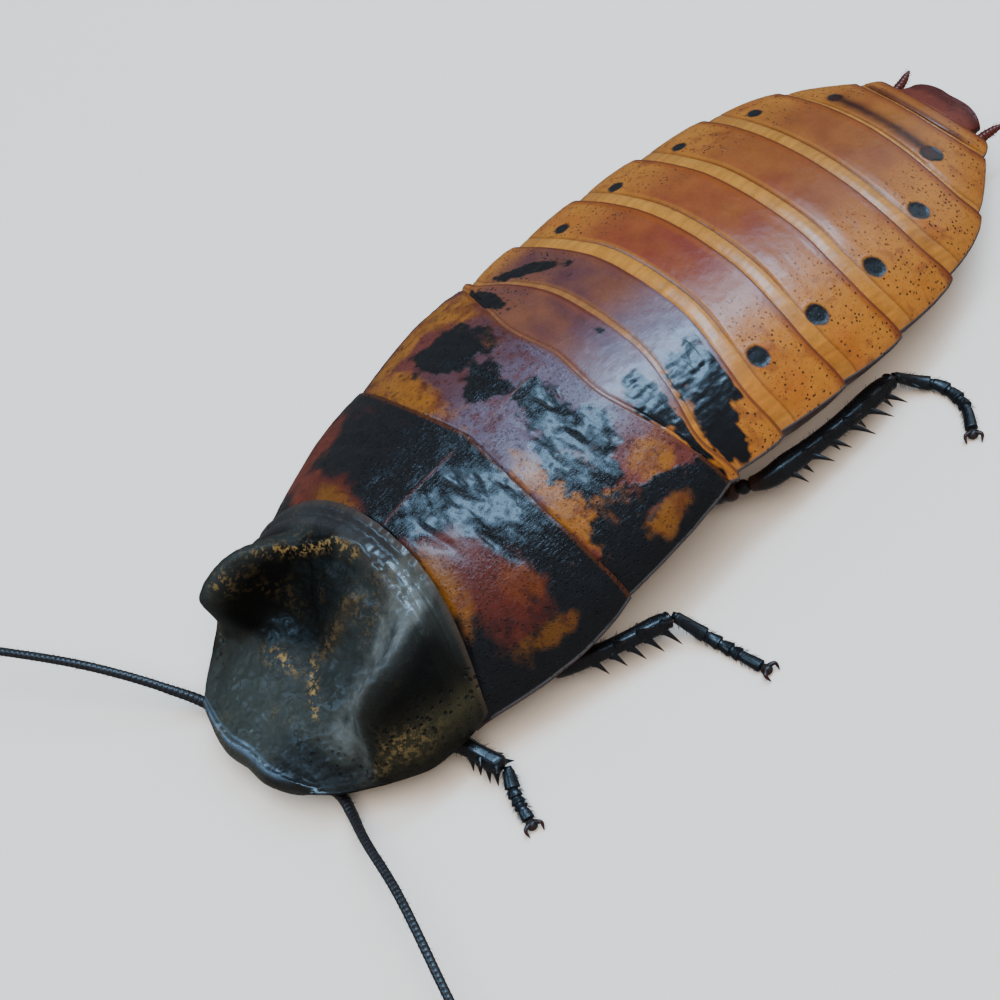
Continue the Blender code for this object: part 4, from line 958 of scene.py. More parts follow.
def thorax_details(name, u, x, station, spot):
    """Heights of a thorax plate's suture, dents and wrinkles, the masks of its black horn and of its suture,
    and the noise that breaks the outlines of its patches."""
    cloud, bits = grain(spot, 2.2, 21, 3), grain(spot, 0.7, 25, 3)
    wrinkle, bumps = grain(spot, (2.4, 0.75, 1.0), 23, 2), grain(spot, (0.9, 0.5, 1.0), 29, 2)
    ragged = (cloud * 0.7 + bits * 0.5) * (0.6 if name == "mesonotum" else 0.85)
    if name == "mesonotum":
        red = blots(u, station, ragged, *MIDDLE_RED, soft=0.28)
        black = 1 - np.maximum(red, 0.8 * blots(u, station, ragged, *MIDDLE_BROWN, soft=0.3))
    else:
        sides = rise(u + cloud * 0.02, -0.9, -0.94) + rise(u + cloud * 0.02, 0.83, 0.87)
        black = np.clip(blots(u, station, ragged, *HIND_BLACK, soft=0.12) + sides, 0, 1)
        black = black * (1 - 0.9 * blots(u, station, ragged, *HIND_OVAL, soft=0.25))
    start, full, fading, end = SUTURES[name]
    suture = bell(x + 0.05 * np.sin(station * 2), 0, 0.07)
    suture = suture * rise(station, start, full) * rise(station, end, fading)
    height = 0.04 * suture
    for across, at, long, short in DENTS[name]:
        height = height - 0.2 * bell(x, across, long) * bell(station, at + 0.12 * (x - across), short)
    height = height + black * (wrinkle * 0.1 + bumps * 0.075) + cloud * 0.08
    return height, black, suture, ragged


def thorax_plate(before, name, number):
    """Back plate of the middle or hind ring of the thorax: red and amber horn under ragged black patches."""
    colour = tones()
    u, step, station, share, first, last, relief = plate_layout(
        before, name, 0.9, (THORAX_STEPS, THORAX_RELIEF), (8, 14, 76, 12))
    x = u * trunk(station, HALF_WIDTHS)
    spot = flat_spots(x, station)
    height, black, suture, ragged = thorax_details(name, u, x, station, spot)
    cloud, mottle, speck = grain(spot, 1.8, 31 + number, 3), grain(spot, 0.8, 35, 3), grain(spot, 0.3, 37, 2)
    shown = rise(step, 0.9, 1.2)
    near_margin = rise(u, 0.85, 0.88)
    if name == "mesonotum":
        front = rise(station - first + cloud * 0.5, 1.9, 0.5) * rise(u, 0.16, 0.34)
        base = paint(np.broadcast_to(colour["maroon"] * (0.45, 0.45, 0.55), x.shape + (3,)),
                     (colour["amber"] * 0.42, front),
                     (colour["orange"] * 0.36, blots(u, station, ragged, *MIDDLE_ORANGE, soft=0.5) * 0.8),
                     (colour["amber"] * 0.36, blots(u, station, ragged, *MIDDLE_AMBER, soft=0.5)),
                     (colour["maroon"] * 0.8, rise(u, -0.55, -0.75) * 0.8),
                     (colour["amber"] * 0.33, near_margin))
    else:
        base = paint(np.broadcast_to(colour["maroon"] * (0.45, 1.0, 2.3), x.shape + (3,)),
                     # Painted sheen: the middle of the plate lightened to a pale lilac
                     (PAINTED_SHEEN["thorax"], rise(u, -0.35, 0.0) * rise(u, 0.65, 0.4) * 0.45),
                     (colour["maroon"] * 0.8, rise(np.abs(u), 0.4, 0.7) * 0.7),
                     (colour["amber"] * 0.62, blots(u, station, ragged, *HIND_AMBER, soft=0.35)),
                     (colour["amber"] * 0.45, near_margin),
                     (colour["black"] * 3, rise(ragged, 0.12, 0.22) * near_margin * 0.8))
    base = paint(base, (colour["maroon"] * 0.5, rise(mottle, 0.0, 0.5) * 0.55),
                 (colour["maroon"] * 0.25, rise(speck, 0.35, 0.5) * 0.6),
                 (colour["black"], black),
                 (colour["maroon"] * (0.7, 1.4, 2.4), suture * 0.8 * shown),
                 (colour["orange"] * 0.3, rise(last - station, 0.3, 0.12) * 0.5),
                 # Painted highlight: a thin pale line along the side margins
                 (colour["edge"], rise(np.abs(u), *MARGIN_HIGHLIGHT) * shown))
    pits = np.clip(0.35 + black * 0.6, 0, 1) * shown * 0.8
    gloss = black * 0.75 + 0.4 * rise(u, -0.45, -0.1) * rise(u, 0.85, 0.5)
    dull = rise(u, -0.4, -0.75) * 0.8 + rise(u, 0.8, 0.95) * 0.3
    bulge = 0.25 * bell(np.abs(u), 0.93, 0.05) * bell(share, 0.6, 0.3)
    return plate_solid(u, step, station, share, relief, THORAX_FLARE, height + bulge, base,
                       np.stack([pits, gloss, dull], -1), False)


def trunk_skin():
    """Skin of the trunk: rings of an arch over a belly line, both set inside the plates, narrower in the
    thorax, where the legs need room; rows of small folds run across it."""
    colour = tones()
    station = np.linspace(10.6, 72.2, 240)[:, None]
    upper = np.sin(np.linspace(-np.pi / 2, np.pi / 2, 73))
    lower = np.linspace(1, -1, 57)[1:-1]
    hind = rise(station, 32.5, 36.5)
    reach = 0.68 + 0.23 * hind
    u = upper * reach
    front = shield_station(u, 0)
    x_shield, dome = shield_dome(u, np.clip((station - front) / (margin("pronotum", u) - front), 0, 1))
    relief = shield_features(x_shield, station, u)[1]
    x, arch = back(u, station, 0, 0)
    ahead = rise(station, 16.0, 13.5)
    x = x * (1 - ahead) + x_shield * ahead
    z = (arch - 1.35) * (1 - ahead) + (dome + np.minimum(relief, 0) - 1.15) * ahead
    folds = grain(np.stack(np.broadcast_arrays(x, station, z), -1), (3.0, 0.7, 1.5), 51, 2)
    z = z + folds * 0.07
    edge_low, edge_high = z[:, :1], z[:, -1:]
    v = lower * reach
    x_low = v * (trunk(station, HALF_WIDTHS) * (1 - ahead) + x_shield[:, -1:] / reach * ahead)
    base = keel(station) + 0.35 * hind
    lift = (np.abs(lower)) ** 4 * 0.45
    flat = base + (edge_low * (v < 0) + edge_high * (v >= 0) - 0.4 - base) * lift
    curved = belly(v, station) + 0.4
    z_low = flat * (1 - hind) + curved * hind + grain(np.stack(np.broadcast_arrays(x_low, station, base), -1),
                                                     (1.6, 0.8, 1.5), 57, 2) * 0.06
    rings = np.concatenate([pose(x, station, z), pose(x_low, station, z_low)], 1)
    rows, count = rings.shape[:2]
    size = rows * count
    ends = np.concatenate([fan(0, count, size, True), fan(size - count, count, size + 1)])
    points = np.concatenate([rings.reshape(-1, 3), rings[[0, -1]].mean(1)])
    tint = paint(np.broadcast_to(colour["skin"], points.shape),
                 (colour["maroon"] * 0.25, rise(grain(points, 1.5, 61, 3), -0.1, 0.6)))
    return Form(points, ring_quads(rows, count, flip=True), ends, tint)


def chest_plates():
    """Small belly plates between the hips: shallow domes on the trunk's underside."""
    colour = tones()
    made = []
    for station_at, half_width, half_length in ((14.0, 1.7, 2.2), (20.6, 1.9, 2.6), (28.6, 2.0, 3.0)):
        turn = np.linspace(0, 2 * np.pi, 48, endpoint=False)
        share = np.linspace(0.04, 1, 14)[:, None]
        x = share * np.cos(turn) * half_width * (1 + 0.15 * np.sin(turn))
        station = station_at - share * np.sin(turn) * half_length
        drop = 0.32 * np.sqrt(np.clip(1 - share ** 3, 0, 1)) + 0 * x
        low = pose(x, station, keel(station) - drop + 0.04)
        high = pose(x, station, keel(station) + 0.2)
        rows, count = x.shape
        size = rows * count
        rim = size - count + np.arange(count)
        following = np.roll(rim, -1)
        outside = ring_quads(rows, count, flip=True)
        quads = np.concatenate([outside, outside[:, ::-1] + size,
                                np.stack([rim, following, following + size, rim + size], -1)])
        ends = np.concatenate([fan(0, count, 2 * size, True), fan(size, count, 2 * size + 1)])
        points = np.concatenate([low.reshape(-1, 3), high.reshape(-1, 3), [low[0].mean(0), high[0].mean(0)]])
        made.append(Form(points, quads, ends, colour["maroon"] * 0.3, (0.3, 0.2, 0)))
    return joined(made)


# Shield over the head

def shield_station(u, share):
    """Station at a share of the way from the front rim to the hind rim."""
    front = smooth_curve(np.abs(u), MARGIN_SHARES, SHIELD_FRONT)
    return front + (margin("pronotum", u) - front) * share


def shield_dome(u, share):
    """Half width and height of the shield without its horns."""
    width = smooth_curve(share, SHIELD_SHARES, SHIELD_HALF_WIDTHS)
    rim = smooth_curve(share, SHIELD_SHARES, SHIELD_RIM_HEIGHTS)
    disc = smooth_curve(share, SHIELD_SHARES, SHIELD_DISC_HEIGHTS)
    power = smooth_curve(share, SHIELD_SHARES, SHIELD_ARCH_POWERS)
    return u * width, rim + (disc - rim) * np.clip(1 - u ** 2, 0, 1) ** power


def shield_features(x, station, u):
    """Horns, the rim's bead less the hollow between them, and the distance outwards from the horns' crest.
    The right horn is blunt and steep in front; the left one stands further out behind."""
    left = rise(x, 0, 1)
    ridge = smooth_curve(station - 0.5 * (1 - left) * rise(station, 8.0, 6.0), HORN_STATIONS, HORN_PROFILE)
    aside = np.abs(x) - smooth_curve(station, *zip(*HORN_CREST)) - 0.9 * left * bell(station, 10.0, 3.0)
    share = ridge * np.exp(-(aside / np.where(aside < 0, *HORN_WIDTHS)) ** 2)
    blunt = (1 - np.exp(-2.6 * share ** 2)) / (1 - np.exp(-2.6))
    horns = HORN_HEIGHT * (share * left + blunt * (1 - left))
    hollow = HOLLOW_DEPTH * np.exp(-(x / HOLLOW_SIZE) ** 2 - ((station - HOLLOW_STATION) / HOLLOW_SIZE) ** 2)
    bead = 0.55 * np.exp(-((station - 0.5) / 0.7) ** 2) * np.clip(1.15 - np.abs(u), 0, 1)
    return horns, bead - hollow, aside


def shield_form():
    """The dome with its horns and the hollow between them: on it a median fold that leads from the hollow to
    the ridge behind, a pocket beside the fold, a step and lines along the hind rim, the side rim, warts and
    creases, and the front bead, rounded over its edge. The horns lean forwards by a share of their height."""
    colour, tone = tones(), SHIELD_TONES
    u = np.sin(np.linspace(-np.pi / 2, np.pi / 2, 261) * 0.94) / np.sin(np.pi / 2 * 0.94)
    share = np.concatenate([np.linspace(0, 0.12, 26, endpoint=False),
                            np.linspace(0.12, 0.86, 116, endpoint=False),
                            np.linspace(0.86, 1.0, 30)])[:, None]
    station = shield_station(u, share) + 0.1 * share
    u, share = np.broadcast_arrays(u, share)
    x, dome = shield_dome(u, share)
    horns, relief, crest = shield_features(x, station, u)
    from_side = (1 - np.abs(u)) * smooth_curve(share, SHIELD_SHARES, SHIELD_HALF_WIDTHS)
    from_hind = margin("pronotum", u) + 0.1 - station
    spot = np.stack([x, station, dome + horns], -1)
    lump, fine, cloud = grain(spot, 1.1, 3, 3), grain(spot, 0.35, 5, 2), grain(spot, 3.0, 9, 3)
    flow, veins = grain(spot * [1.6, 0.8, 1.0], 0.9, 15, 2), grain(spot, 1.7, 19, 2)
    creases = np.clip(1 - np.abs(veins) * 2.2, 0, 1)
    inner = rise(np.abs(x), 6.2, 4.6)
    fold = bell(x, 0.4 + 0.28 * (station - 9), 0.62) * rise(station, 6.8, 8.2) * rise(station, 12.2, 10.8)
    wall = 13.3 - 0.086 * np.minimum(x, 0) ** 2 - 0.2 * np.maximum(x, 0) + 0.2 * lump
    ridge = bell(station, wall + 0.2, 0.35) * inner
    basin = rise(station, wall, wall - 0.9) * rise(station, 6.6, 8.6) * rise(np.abs(x), 5.2, 3.6)
    pocket = bell(x, -2.9, 1.5) * bell(station, 8.9, 1.7) + 0.5 * basin
    hind_step = (rise(from_hind, 0.75, 0.45) - 1.3 * bell(from_hind, 0.95, 0.2)
                 + 1.4 * bell(from_hind, 1.6, 0.38) - 0.9 * bell(from_hind, 2.25, 0.35))
    side_rim = bell(from_side, 0.5, 0.45) - 0.6 * bell(from_side, 1.5, 0.5)
    front_bead = 0.26 * bell(share, 0.032, 0.018) - 0.24 * bell(share, 0.085, 0.024)
    clear = rise(from_hind, 1.2, 3.0)
    rounding = 1 - np.sqrt(np.clip(1 - (1 - np.clip((share * 15) / 0.42, 0, 1)) ** 2, 0, 1))
    details = (0.34 * fold * (1 + 0.5 * lump) + 0.28 * ridge - 0.85 * pocket + 0.13 * hind_step
               + 0.15 * side_rim * rise(share, 0.05, 0.25)
               + 0.17 * lump * rise(from_side, 0.2, 1.2) * clear
               + 0.07 * fine * clear + 0.14 * flow * inner * rise(station, 3.5, 6.0)
               + 0.09 * creases * rise(station, 3.0, 5.0) * rise(from_side, 1.5, 3.0)
               * rise(from_hind, 2.4, 3.6)
               + front_bead * rise(np.abs(u), 0.95, 0.6) - 0.5 * rounding * rise(np.abs(u), 1.0, 0.75))
    lean = HORN_LEAN - 0.2 * rise(x, 0, 1)
    top = pose(x, station - lean * horns, dome + horns + relief + details)
    thick = 0.62 * np.minimum(1, 0.4 + from_side / 1.5) * np.minimum(1, 0.45 + share * 8)
    under = pose(x, station, dome + np.minimum(relief, 0) + np.minimum(details, 0) - thick)

    # The horns' outer flanks; their colour is painted shade
    outer = rise(crest, -0.1, 1.4) * rise(station, 2.2, 4.5) * rise(station, 14.0, 12.0)
    # Painted sheen mask: the near horn's inner slope
    slope = rise(crest, -4.0, -2.4) * rise(crest, 0.4, -0.5) * rise(station, 3.4, 5.0) * rise(x, -0.5, 0.5)
    # Painted shade: the right horn's inner flank and the pocket beside the fold are darkened to near black
    shade = rise(crest, -4.4, -3.2) * rise(crest, -0.5, -1.3) * rise(-x, 0, 1) * rise(station, 5.6, 6.6)
    painted_shade = np.clip(pocket * 1.5 * rise(-x, -1.5, 0.5) + shade, 0, 1)
    # Painted highlight: two thin blue lines along the front bead
    bead_highlight_lines = bell(share, 0.032, 0.009) + 0.6 * bell(share, 0.058, 0.006)
    bead_highlight_lines = bead_highlight_lines * rise(x, 4.5, 2.0) * rise(x, -8.0, -5.0)
    base = paint(np.broadcast_to(colour["shield"], x.shape + (3,)),
                 (tone["front"], rise(station + lump, 6.4, 3.8) * (0.75 + 0.4 * cloud)),
                 # Painted sheen on the near horn's inner slope
                 (tone["slope"], slope * (0.75 + 0.9 * lump + 0.4 * fine)),
                 (tone["ridge"], fold * 0.7 + ridge * 0.5),
                 # Painted shade: the horns' outer flanks darkened to near black
                 (tone["outer"], outer * 0.95),
                 # Painted shade in the pocket and on the right horn's inner flank
                 (tone["hollow"], painted_shade * 0.95),
                 (tone["corner"], rise(x, 0.5, 3.0) * rise(station + lump, 4.4, 2.6) * 0.8),
                 (tone["side_rim"], bell(from_side, 0.75, 0.65) * rise(station, 3.5, 5.5) * 0.8),
                 (tone["hind_band"], rise(from_hind, 2.4, 1.6) * rise(x, 4.0, 1.0) * 0.7),
                 (tone["hind_edge"], rise(from_hind, 0.5, 0.2) * 0.5),
                 # Painted highlight along the front bead
                 (tone["bead"], bead_highlight_lines * (0.7 + lump)))
    dust = (bell(station, wall - 0.1, 0.3) * rise(np.abs(x + 2.8), 3.3, 2.4) * 0.85
            + fold * 0.22
            + bell(x, -2.2, 1.3) * bell(station, 6.1 + 0.12 * x, 0.5)
            + bell(x, 0.3 + 0.95 * (6.5 - station), 0.5) * rise(station, 3.9, 4.5)
            * rise(station, 7.6, 6.7) * 0.9
            + bell(x, -6.3, 0.4) * bell(station, 8.0, 0.6) * 0.6
            + bell(from_side, 0.8, 0.45) * rise(u, 0, 0.5) * bell(station, 6.3, 2.2) * 0.5
            + 0.13 * rise(cloud, 0.1, 0.6) * (1 - outer))
    gloss = (np.clip(outer * 0.25 + rise(from_hind, 2.6, 2.0) * rise(u, -0.2, 0.1), 0, 1)
             + rise(share, 0.075, 0.05) + slope * 0.15 + 0.3 * inner * rise(lump, -0.2, 0.5))
    pits = (bell(from_side, 1.1, 0.9) * rise(station, 2.8, 4.5) * 0.9
            + bell(x, 4.8, 2.4) * bell(station, 2.8, 1.2) * 0.8)
    return slab(top, under, base, np.stack([pits, gloss, dust], -1))


class ROACH_OT_thorax(bpy.types.Operator):
    """Shield with its horns, the two thorax plates, the trunk's skin and the chest plates"""
    bl_idname = "roach.thorax"
    bl_label = "Shield and thorax"

    def execute(self, context):
        look = settings("colours")
        horn = cuticle_finish("dark_horn", look, 0.3, 3.2, subsurface_weight=0.0)
        make_piece("shield", shield_form(), shield_finish(look), ["pronotum"])
        middle, hind = thorax_plate("pronotum", "mesonotum", 1), thorax_plate("mesonotum", "metanotum", 2)
        make_piece("thorax_plate_middle", middle, horn, ["mesonotum"])
        make_piece("thorax_plate_hind", hind, horn, ["metanotum"])
        cores = ["prothorax", "mesothorax", "metathorax"]
        make_piece("trunk_skin", trunk_skin(), skin_finish(look), cores)
        make_piece("chest_plates", chest_plates(), horn, cores)
        return {"FINISHED"}


# Head

def head_forms():
    """Head capsule: by station, an oval of the solids' width and height, with furrows across the face and a
    ridge down its middle. The mouth has a lip and two curved jaws."""
    colour = tones()
    station = 2.25 + (10.0 - 2.25) * (1 - np.cos(np.linspace(0, np.pi, 90))) / 2
    wide, top, low = (smooth_curve(station, HEAD_STATIONS, values)
                      for values in (HEAD_HALF_WIDTHS, HEAD_TOPS, HEAD_BOTTOMS))
    sides = 72
    turn = turns(sides)
    under = rise(-np.sin(turn), 0.2, 0.9)[None]
    s = station[:, None]
    furrows = 0.05 * (bell(s, 7.1, 0.12) + bell(s, 8.5, 0.12)) * under
    ridge = 0.06 * bell(np.cos(turn)[None], 0, 0.08) * under * rise(s, 2.6, 3.6) * rise(s, 6.8, 6.0)
    tint = paint(np.broadcast_to(colour["maroon"] * 0.28, (len(station), sides, 3)),
                 (colour["amber"] * 0.5, under * rise(s, 6.9, 7.4)),
                 (colour["black"], under * rise(s, 5.8, 4.6) * 0.8))
    capsule = tube(pose(0 * station, station, (top + low) / 2), wide + 0.05, (top - low) / 2 + 0.12, sides,
                   -furrows - ridge, (0.8, 0.5), tint=tint, marks=(0.25, 0.3, 0))
    lip_path = smooth_path(posed(1, [(0.0, 8.2, 0.95), (0.0, 9.0, 0.85), (0.0, 9.7, 1.05)]), 20)
    lip = tube(lip_path, 1.1, 0.38, 32, 0.0, (0.5, 0.6), tint=colour["amber"] * 0.45, marks=(0.2, 0.3, 0))
    jaws = [tube(smooth_path(posed(side, [(2.3, 7.6, 1.25), (1.75, 8.8, 1.2), (0.8, 9.75, 1.3)]), 20),
                 np.linspace(0.62, 0.3, 20), np.linspace(0.55, 0.3, 20), 24, 0.0, (0.4, 0.4),
                 tint=colour["black"] * 1.5, marks=(0, 0.7, 0)) for side in (-1, 1)]
    return capsule, joined([lip, *jaws])


def palp_form(side):
    """Feeler beside the mouth: five lengths, each swelling towards its far end, with short hairs."""
    colour = tones()
    path = smooth_path(posed(side, PALP_PATH), 61)
    share = np.linspace(0, 1, 61)
    radius = np.interp(share, [0, 0.35, 0.7, 1], [0.30, 0.27, 0.33, 0.28])
    part = (share * 5) % 1
    radius = radius * (0.82 + 0.22 * np.sin(part * np.pi * 0.85) ** 0.7)
    body = tube(path, radius, radius, 20, 0.0, (0.3, 0.35), tint=colour["maroon"] * 0.6, marks=(0, 0.3, 0))
    return joined([body, hairs(path, radius, 46, 0.22, 7)])


def hairs(path, radius, count, length, seed, lean=0.7, thickness=0.035):
    """Short hairs scattered over a limb, leaning towards its far end."""
    rng = np.random.default_rng(seed)
    along, across, over = path_axes(path)
    share = rng.uniform(0.05, 0.97, count) * (len(path) - 1)
    i = share.astype(int)
    part = (share - i)[:, None]
    at = path[i] * (1 - part) + path[np.minimum(i + 1, len(path) - 1)] * part
    turn = rng.uniform(0, 2 * np.pi, count)[:, None]
    out = across[i] * np.cos(turn) + over[i] * np.sin(turn)
    root = at + out * (np.broadcast_to(radius, len(path))[i] * 0.9)[:, None]
    tip = root + (out + along[i] * lean) * (length * rng.uniform(0.6, 1.1, count))[:, None]
    tip[:, 2] = np.maximum(tip[:, 2], 0.02)
    root[:, 2] = np.maximum(root[:, 2], 0.03)
    return cones(root, tip, thickness, 3, tones()["black"] * 2)


class ROACH_OT_head(bpy.types.Operator):
    """Head capsule, mouth, eyes and palps"""
    bl_idname = "roach.head"
    bl_label = "Head"

    def execute(self, context):
        look = settings("colours")
        horn = cuticle_finish("head_horn", look, 0.25)
        capsule, mouth = head_forms()
        make_piece("head_capsule", capsule, horn, ["head"])
        make_piece("mouth_parts", mouth, horn, ["head"])
        facets = eye_finish(look)
        limb = black_finish(look)
        width = smooth_curve(EYE_STATION, HEAD_STATIONS, HEAD_HALF_WIDTHS)
        for word, side in (("left", 1), ("right", -1)):
            centre = pose(side * (width - 0.1), np.float64(EYE_STATION), np.float64(EYE_HEIGHT))
            eye = ball(centre, EYE_SIZES, 40, 56, lambda d: -0.12 * rise(-d[:, 1] * 0.5 + d[:, 2], 0.5, 1.2),
                       tint=tones()["black"])
            make_piece(f"eye_{word}_facets", eye, facets, [f"eye_{word}"])
            make_piece(f"palp_{word}_joints", palp_form(side), limb, [f"palp_{word}"])
        return {"FINISHED"}


# Limbs

def spine_rows(path, radius, rows, rng):
    """Roots and tips of the rows of spines along a shank, as the solids have them."""
    along = np.gradient(path, axis=0)
    along /= np.linalg.norm(along, axis=1)[:, None]
    roots, tips = [], []
    for angle, start, count, length in rows:
        for share in np.linspace(start, 0.88, count):
            at = share * (len(path) - 1)
            i = min(int(at), len(path) - 2)
            point = path[i] + (path[i + 1] - path[i]) * (at - i)
            across = np.cross(along[i], [0, 0, 1.0])
            across /= np.linalg.norm(across)
            over = np.cross(across, along[i])
            turn = np.radians(angle + rng.uniform(-8, 8))
            out = across * np.cos(turn) + over * np.sin(turn)
            lean = out + along[i] * 0.6
            size = length * (0.7 + 0.3 * share) * rng.uniform(0.9, 1.1)
            root = point + out * radius * 0.35
            tip = root + lean / np.linalg.norm(lean) * (size + radius * 0.65)
            tip[2] = max(tip[2], 0.12)
            roots.append(root)
            tips.append(tip)
    return np.array(roots), np.array(tips)


def spine_forms(roots, tips, thickness, radius):
    """Curved spines, each a round section that thins to a point over a collar at its socket."""
    colour = tones()["black"]
    made = []
    share = np.array(SPINE_SHARES)
    for root, tip in zip(roots, tips):
        length = np.linalg.norm(tip - root)
        sag = np.sin(share * np.pi)[:, None] * np.array([0, 0, 0.05 * length])
        path = root + (tip - root) * share[:, None] + sag
        path[:, 2] = np.maximum(path[:, 2], 0.1)
        collar = 0.32 * bell(share * length, radius * 0.72, 0.13)
        size = thickness / 2 * (1.0 - 0.93 * np.clip((share - 0.15) / 0.85, 0, 1) ** 0.9 + collar)
        size = np.maximum(size, 0.012)
        tint = paint(np.broadcast_to(colour, (len(share), 12, 3)),
                     (LIMB_TONES["spine_tip"], rise(share, 0.72, 1.0)[:, None] * 0.8))
        made.append(tube(path, size, size, 12, 0.0, (0.0, 0.06), tint=tint))
    return made


def hip_form(side, plan):
    """Hip: a flattened lobe with a keel along it and a furrow round the joint at its end."""
    colour = tones()
    path = smooth_path(posed(side, plan["coxa"]), 60)
    share = np.linspace(0, 1, 60)
    sides = 48
    below = np.sin(turns(sides))[None]
    relief = (0.09 * bell(below, -1, 0.12) - 0.05 * bell(below, -0.8, 0.14)
              - 0.05 * bell(share, 0.82, 0.03)[:, None])
    tint = paint(np.broadcast_to(colour["maroon"] * 0.22, (60, sides, 3)),
                 (colour["black"], rise(share, 0.1, 0.4)[:, None] * 0.7),
                 (colour["band"] * 0.35, bell(share, 0.84, 0.03)[:, None] * 0.6))
    return tube(path, profile(share, COXA_WIDTHS), profile(share, COXA_HEIGHTS), sides, relief, (0.5, 0.4),
                tint=tint, marks=(0.3, 0.2, 0))


def leg_forms(side, plan, rng):
    """Hip, thigh, shank and foot of one leg. The thigh has a groove below and a swelling at the knee; the
    shank has long furrows, a ring at its end, spines and hairs."""
    limbs = settings("limbs")
    black = tones()["black"]
    sides = limbs.sides
    turn = turns(sides)[None]

    thigh_path = smooth_path(plan["femur"], 80)
    share = np.linspace(0, 1, 80)[:, None]
    wide, high = profile(share[:, 0], FEMUR_WIDTHS), profile(share[:, 0], FEMUR_HEIGHTS)
    groove = -0.1 * bell(np.sin(turn), -1, 0.1) * rise(share, 0.25, 0.5)
    knee = 0.07 * bell(share, 0.93, 0.03) - 0.06 * bell(share, 0.86, 0.02)
    ripples = 0.015 * np.sin(5 * turn) + 0.02 * bell(share, 0.12, 0.03)
    tint = paint(np.broadcast_to(black, (80, sides, 3)),
                 (LIMB_TONES["thigh_end"], (bell(share, 0.97, 0.05) + bell(share, 0.03, 0.06)) * 0.7))
    thigh = joined([tube(thigh_path, wide, high, sides, groove + knee + ripples, (0.35, 0.35), tint=tint,
                         marks=(0.35, 0.2, 0)),
                    hairs(thigh_path, wide * 0.8, 60, limbs.hair * 0.8, 31)])

    coarse, shank_path = smooth_path(plan["tibia"], 10), smooth_path(plan["tibia"], 110)
    share = np.linspace(0, 1, 110)
    radius = profile(share, TIBIA_RADII)
    radius = radius * (1 + (plan["girth"] - 1) * np.interp(share, [0, 0.2, 0.8, 1], [0, 1, 1, 0.3]))
    share = share[:, None]
    furrows = 0.018 * np.cos(6 * turn) * rise(share, 0.08, 0.2) * rise(share, 0.98, 0.88)
    rings = 0.05 * bell(share, 0.985, 0.02) - 0.05 * bell(share, 0.955, 0.015)
    tint = paint(np.broadcast_to(black, (110, sides, 3)),
                 (LIMB_TONES["shank_root"], bell(share, 0.0, 0.06) * 0.8))
    rows = [(angle if side > 0 else 180 - angle, *rest) for angle, *rest in plan["spines"]]
    roots, tips = spine_rows(coarse, TIBIA_RADII[5], rows, rng)
    tips = roots + (tips - roots) * 0.88
    knee_ball = ball((thigh_path[-1] + shank_path[0]) / 2, (0.55, 0.55, 0.55), 20, 28, tint=black,
                     marks=(0.1, 0.5, 0))
    shank = joined([tube(shank_path, radius, radius, sides, furrows + rings, (0.3, 0.25), tint=tint,
                         marks=(0.25, 0.5, 0)), knee_ball,
                    *spine_forms(roots, tips, limbs.spine, TIBIA_RADII[5]),
                    hairs(shank_path, radius, 130, limbs.hair, 33)])
    return hip_form(side, plan), thigh, shank, foot_form(coarse, plan, limbs)


def foot_form(shank, plan, limbs):
    """Foot of five joints that widen towards their ends over pale pads, a round pad and two hooked claws."""
    black = tones()["black"]
    path = smooth_path([onwards(shank), *plan["tarsus"]], 121)
    share = np.linspace(0, 1, 121)
    core = np.vstack([shank[-1], path])
    core[:, 2] = np.maximum(core[:, 2], 0.3)
    forms = [tube(core, 0.36, 0.34, 16, 0.0, (0.1, 0.1), 0.0, tint=black * 0.7, marks=(0.2, 0, 0.6))]
    for number in range(5):
        piece = path[(share >= FOOT_CUTS[number]) & (share <= FOOT_CUTS[number + 1])].copy()
        piece[:, 2] = np.maximum(piece[:, 2], 0.02)
        t = np.linspace(0, 1, len(piece))
        width = 0.42 + 0.15 * t ** 1.5 if number < 4 else 0.38 + 0.10 * t
        forms.append(tube(piece, width, width * 0.9, 20, 0.0, (0.12, 0.14), 0.0, tint=black,
                          marks=(0.2, 0.2, 0.3)))
        if number < 4:
            last = piece[-2]
            pad = np.array([last[0], last[1], max(last[2] - width[-1] * 0.75, 0.14)])
            forms.append(ball(pad, (0.3, 0.3, 0.14), 10, 16, tint=LIMB_TONES["pad"]))
    forward = path[-1] - path[-12]
    forward[2] = 0
    forward /= np.linalg.norm(forward)
    across = np.cross(forward, [0, 0, 1.0])
    pad = path[-1] + forward * 0.35
    pad[2] = 0.36
    forms.append(ball(pad, (0.42, 0.42, 0.36), 16, 24,
                      lambda d: 0.08 * np.sin(4 * d[:, 0]) * np.clip(d[:, 2], 0, 1),
                      tint=LIMB_TONES["end_pad"], marks=(0, 0, 0.5)))
    share = np.linspace(0, 1, 22)
    size = np.interp(share, [0, 0.25, 0.7, 1], [0.22, 0.17, 0.11, 0.03])
    tint = paint(np.broadcast_to(black, (22, 12, 3)), (LIMB_TONES["claw_tip"], share[:, None] * 0.8))
    for turn in (-1, 1):
        root = pad + across * turn * 0.15 + [0, 0, 0.19]
        bend = root + (forward * 0.35 + across * turn * 0.5) * 0.85 + [0, 0, 0.1]
        tip = root + (forward * 0.8 + across * turn * 0.45) * 0.85
        tip[2] = 0.12
        claw = smooth_path([root, bend, tip], 22)
        claw[:, 2] = np.maximum(claw[:, 2], size)
        forms.append(tube(claw, size, size, 12, 0.0, (0.1, 0.03), tint=tint))
    forms.append(hairs(path, 0.46, 260, limbs.hair * 0.8, 37, 0.9))
    return joined(forms)


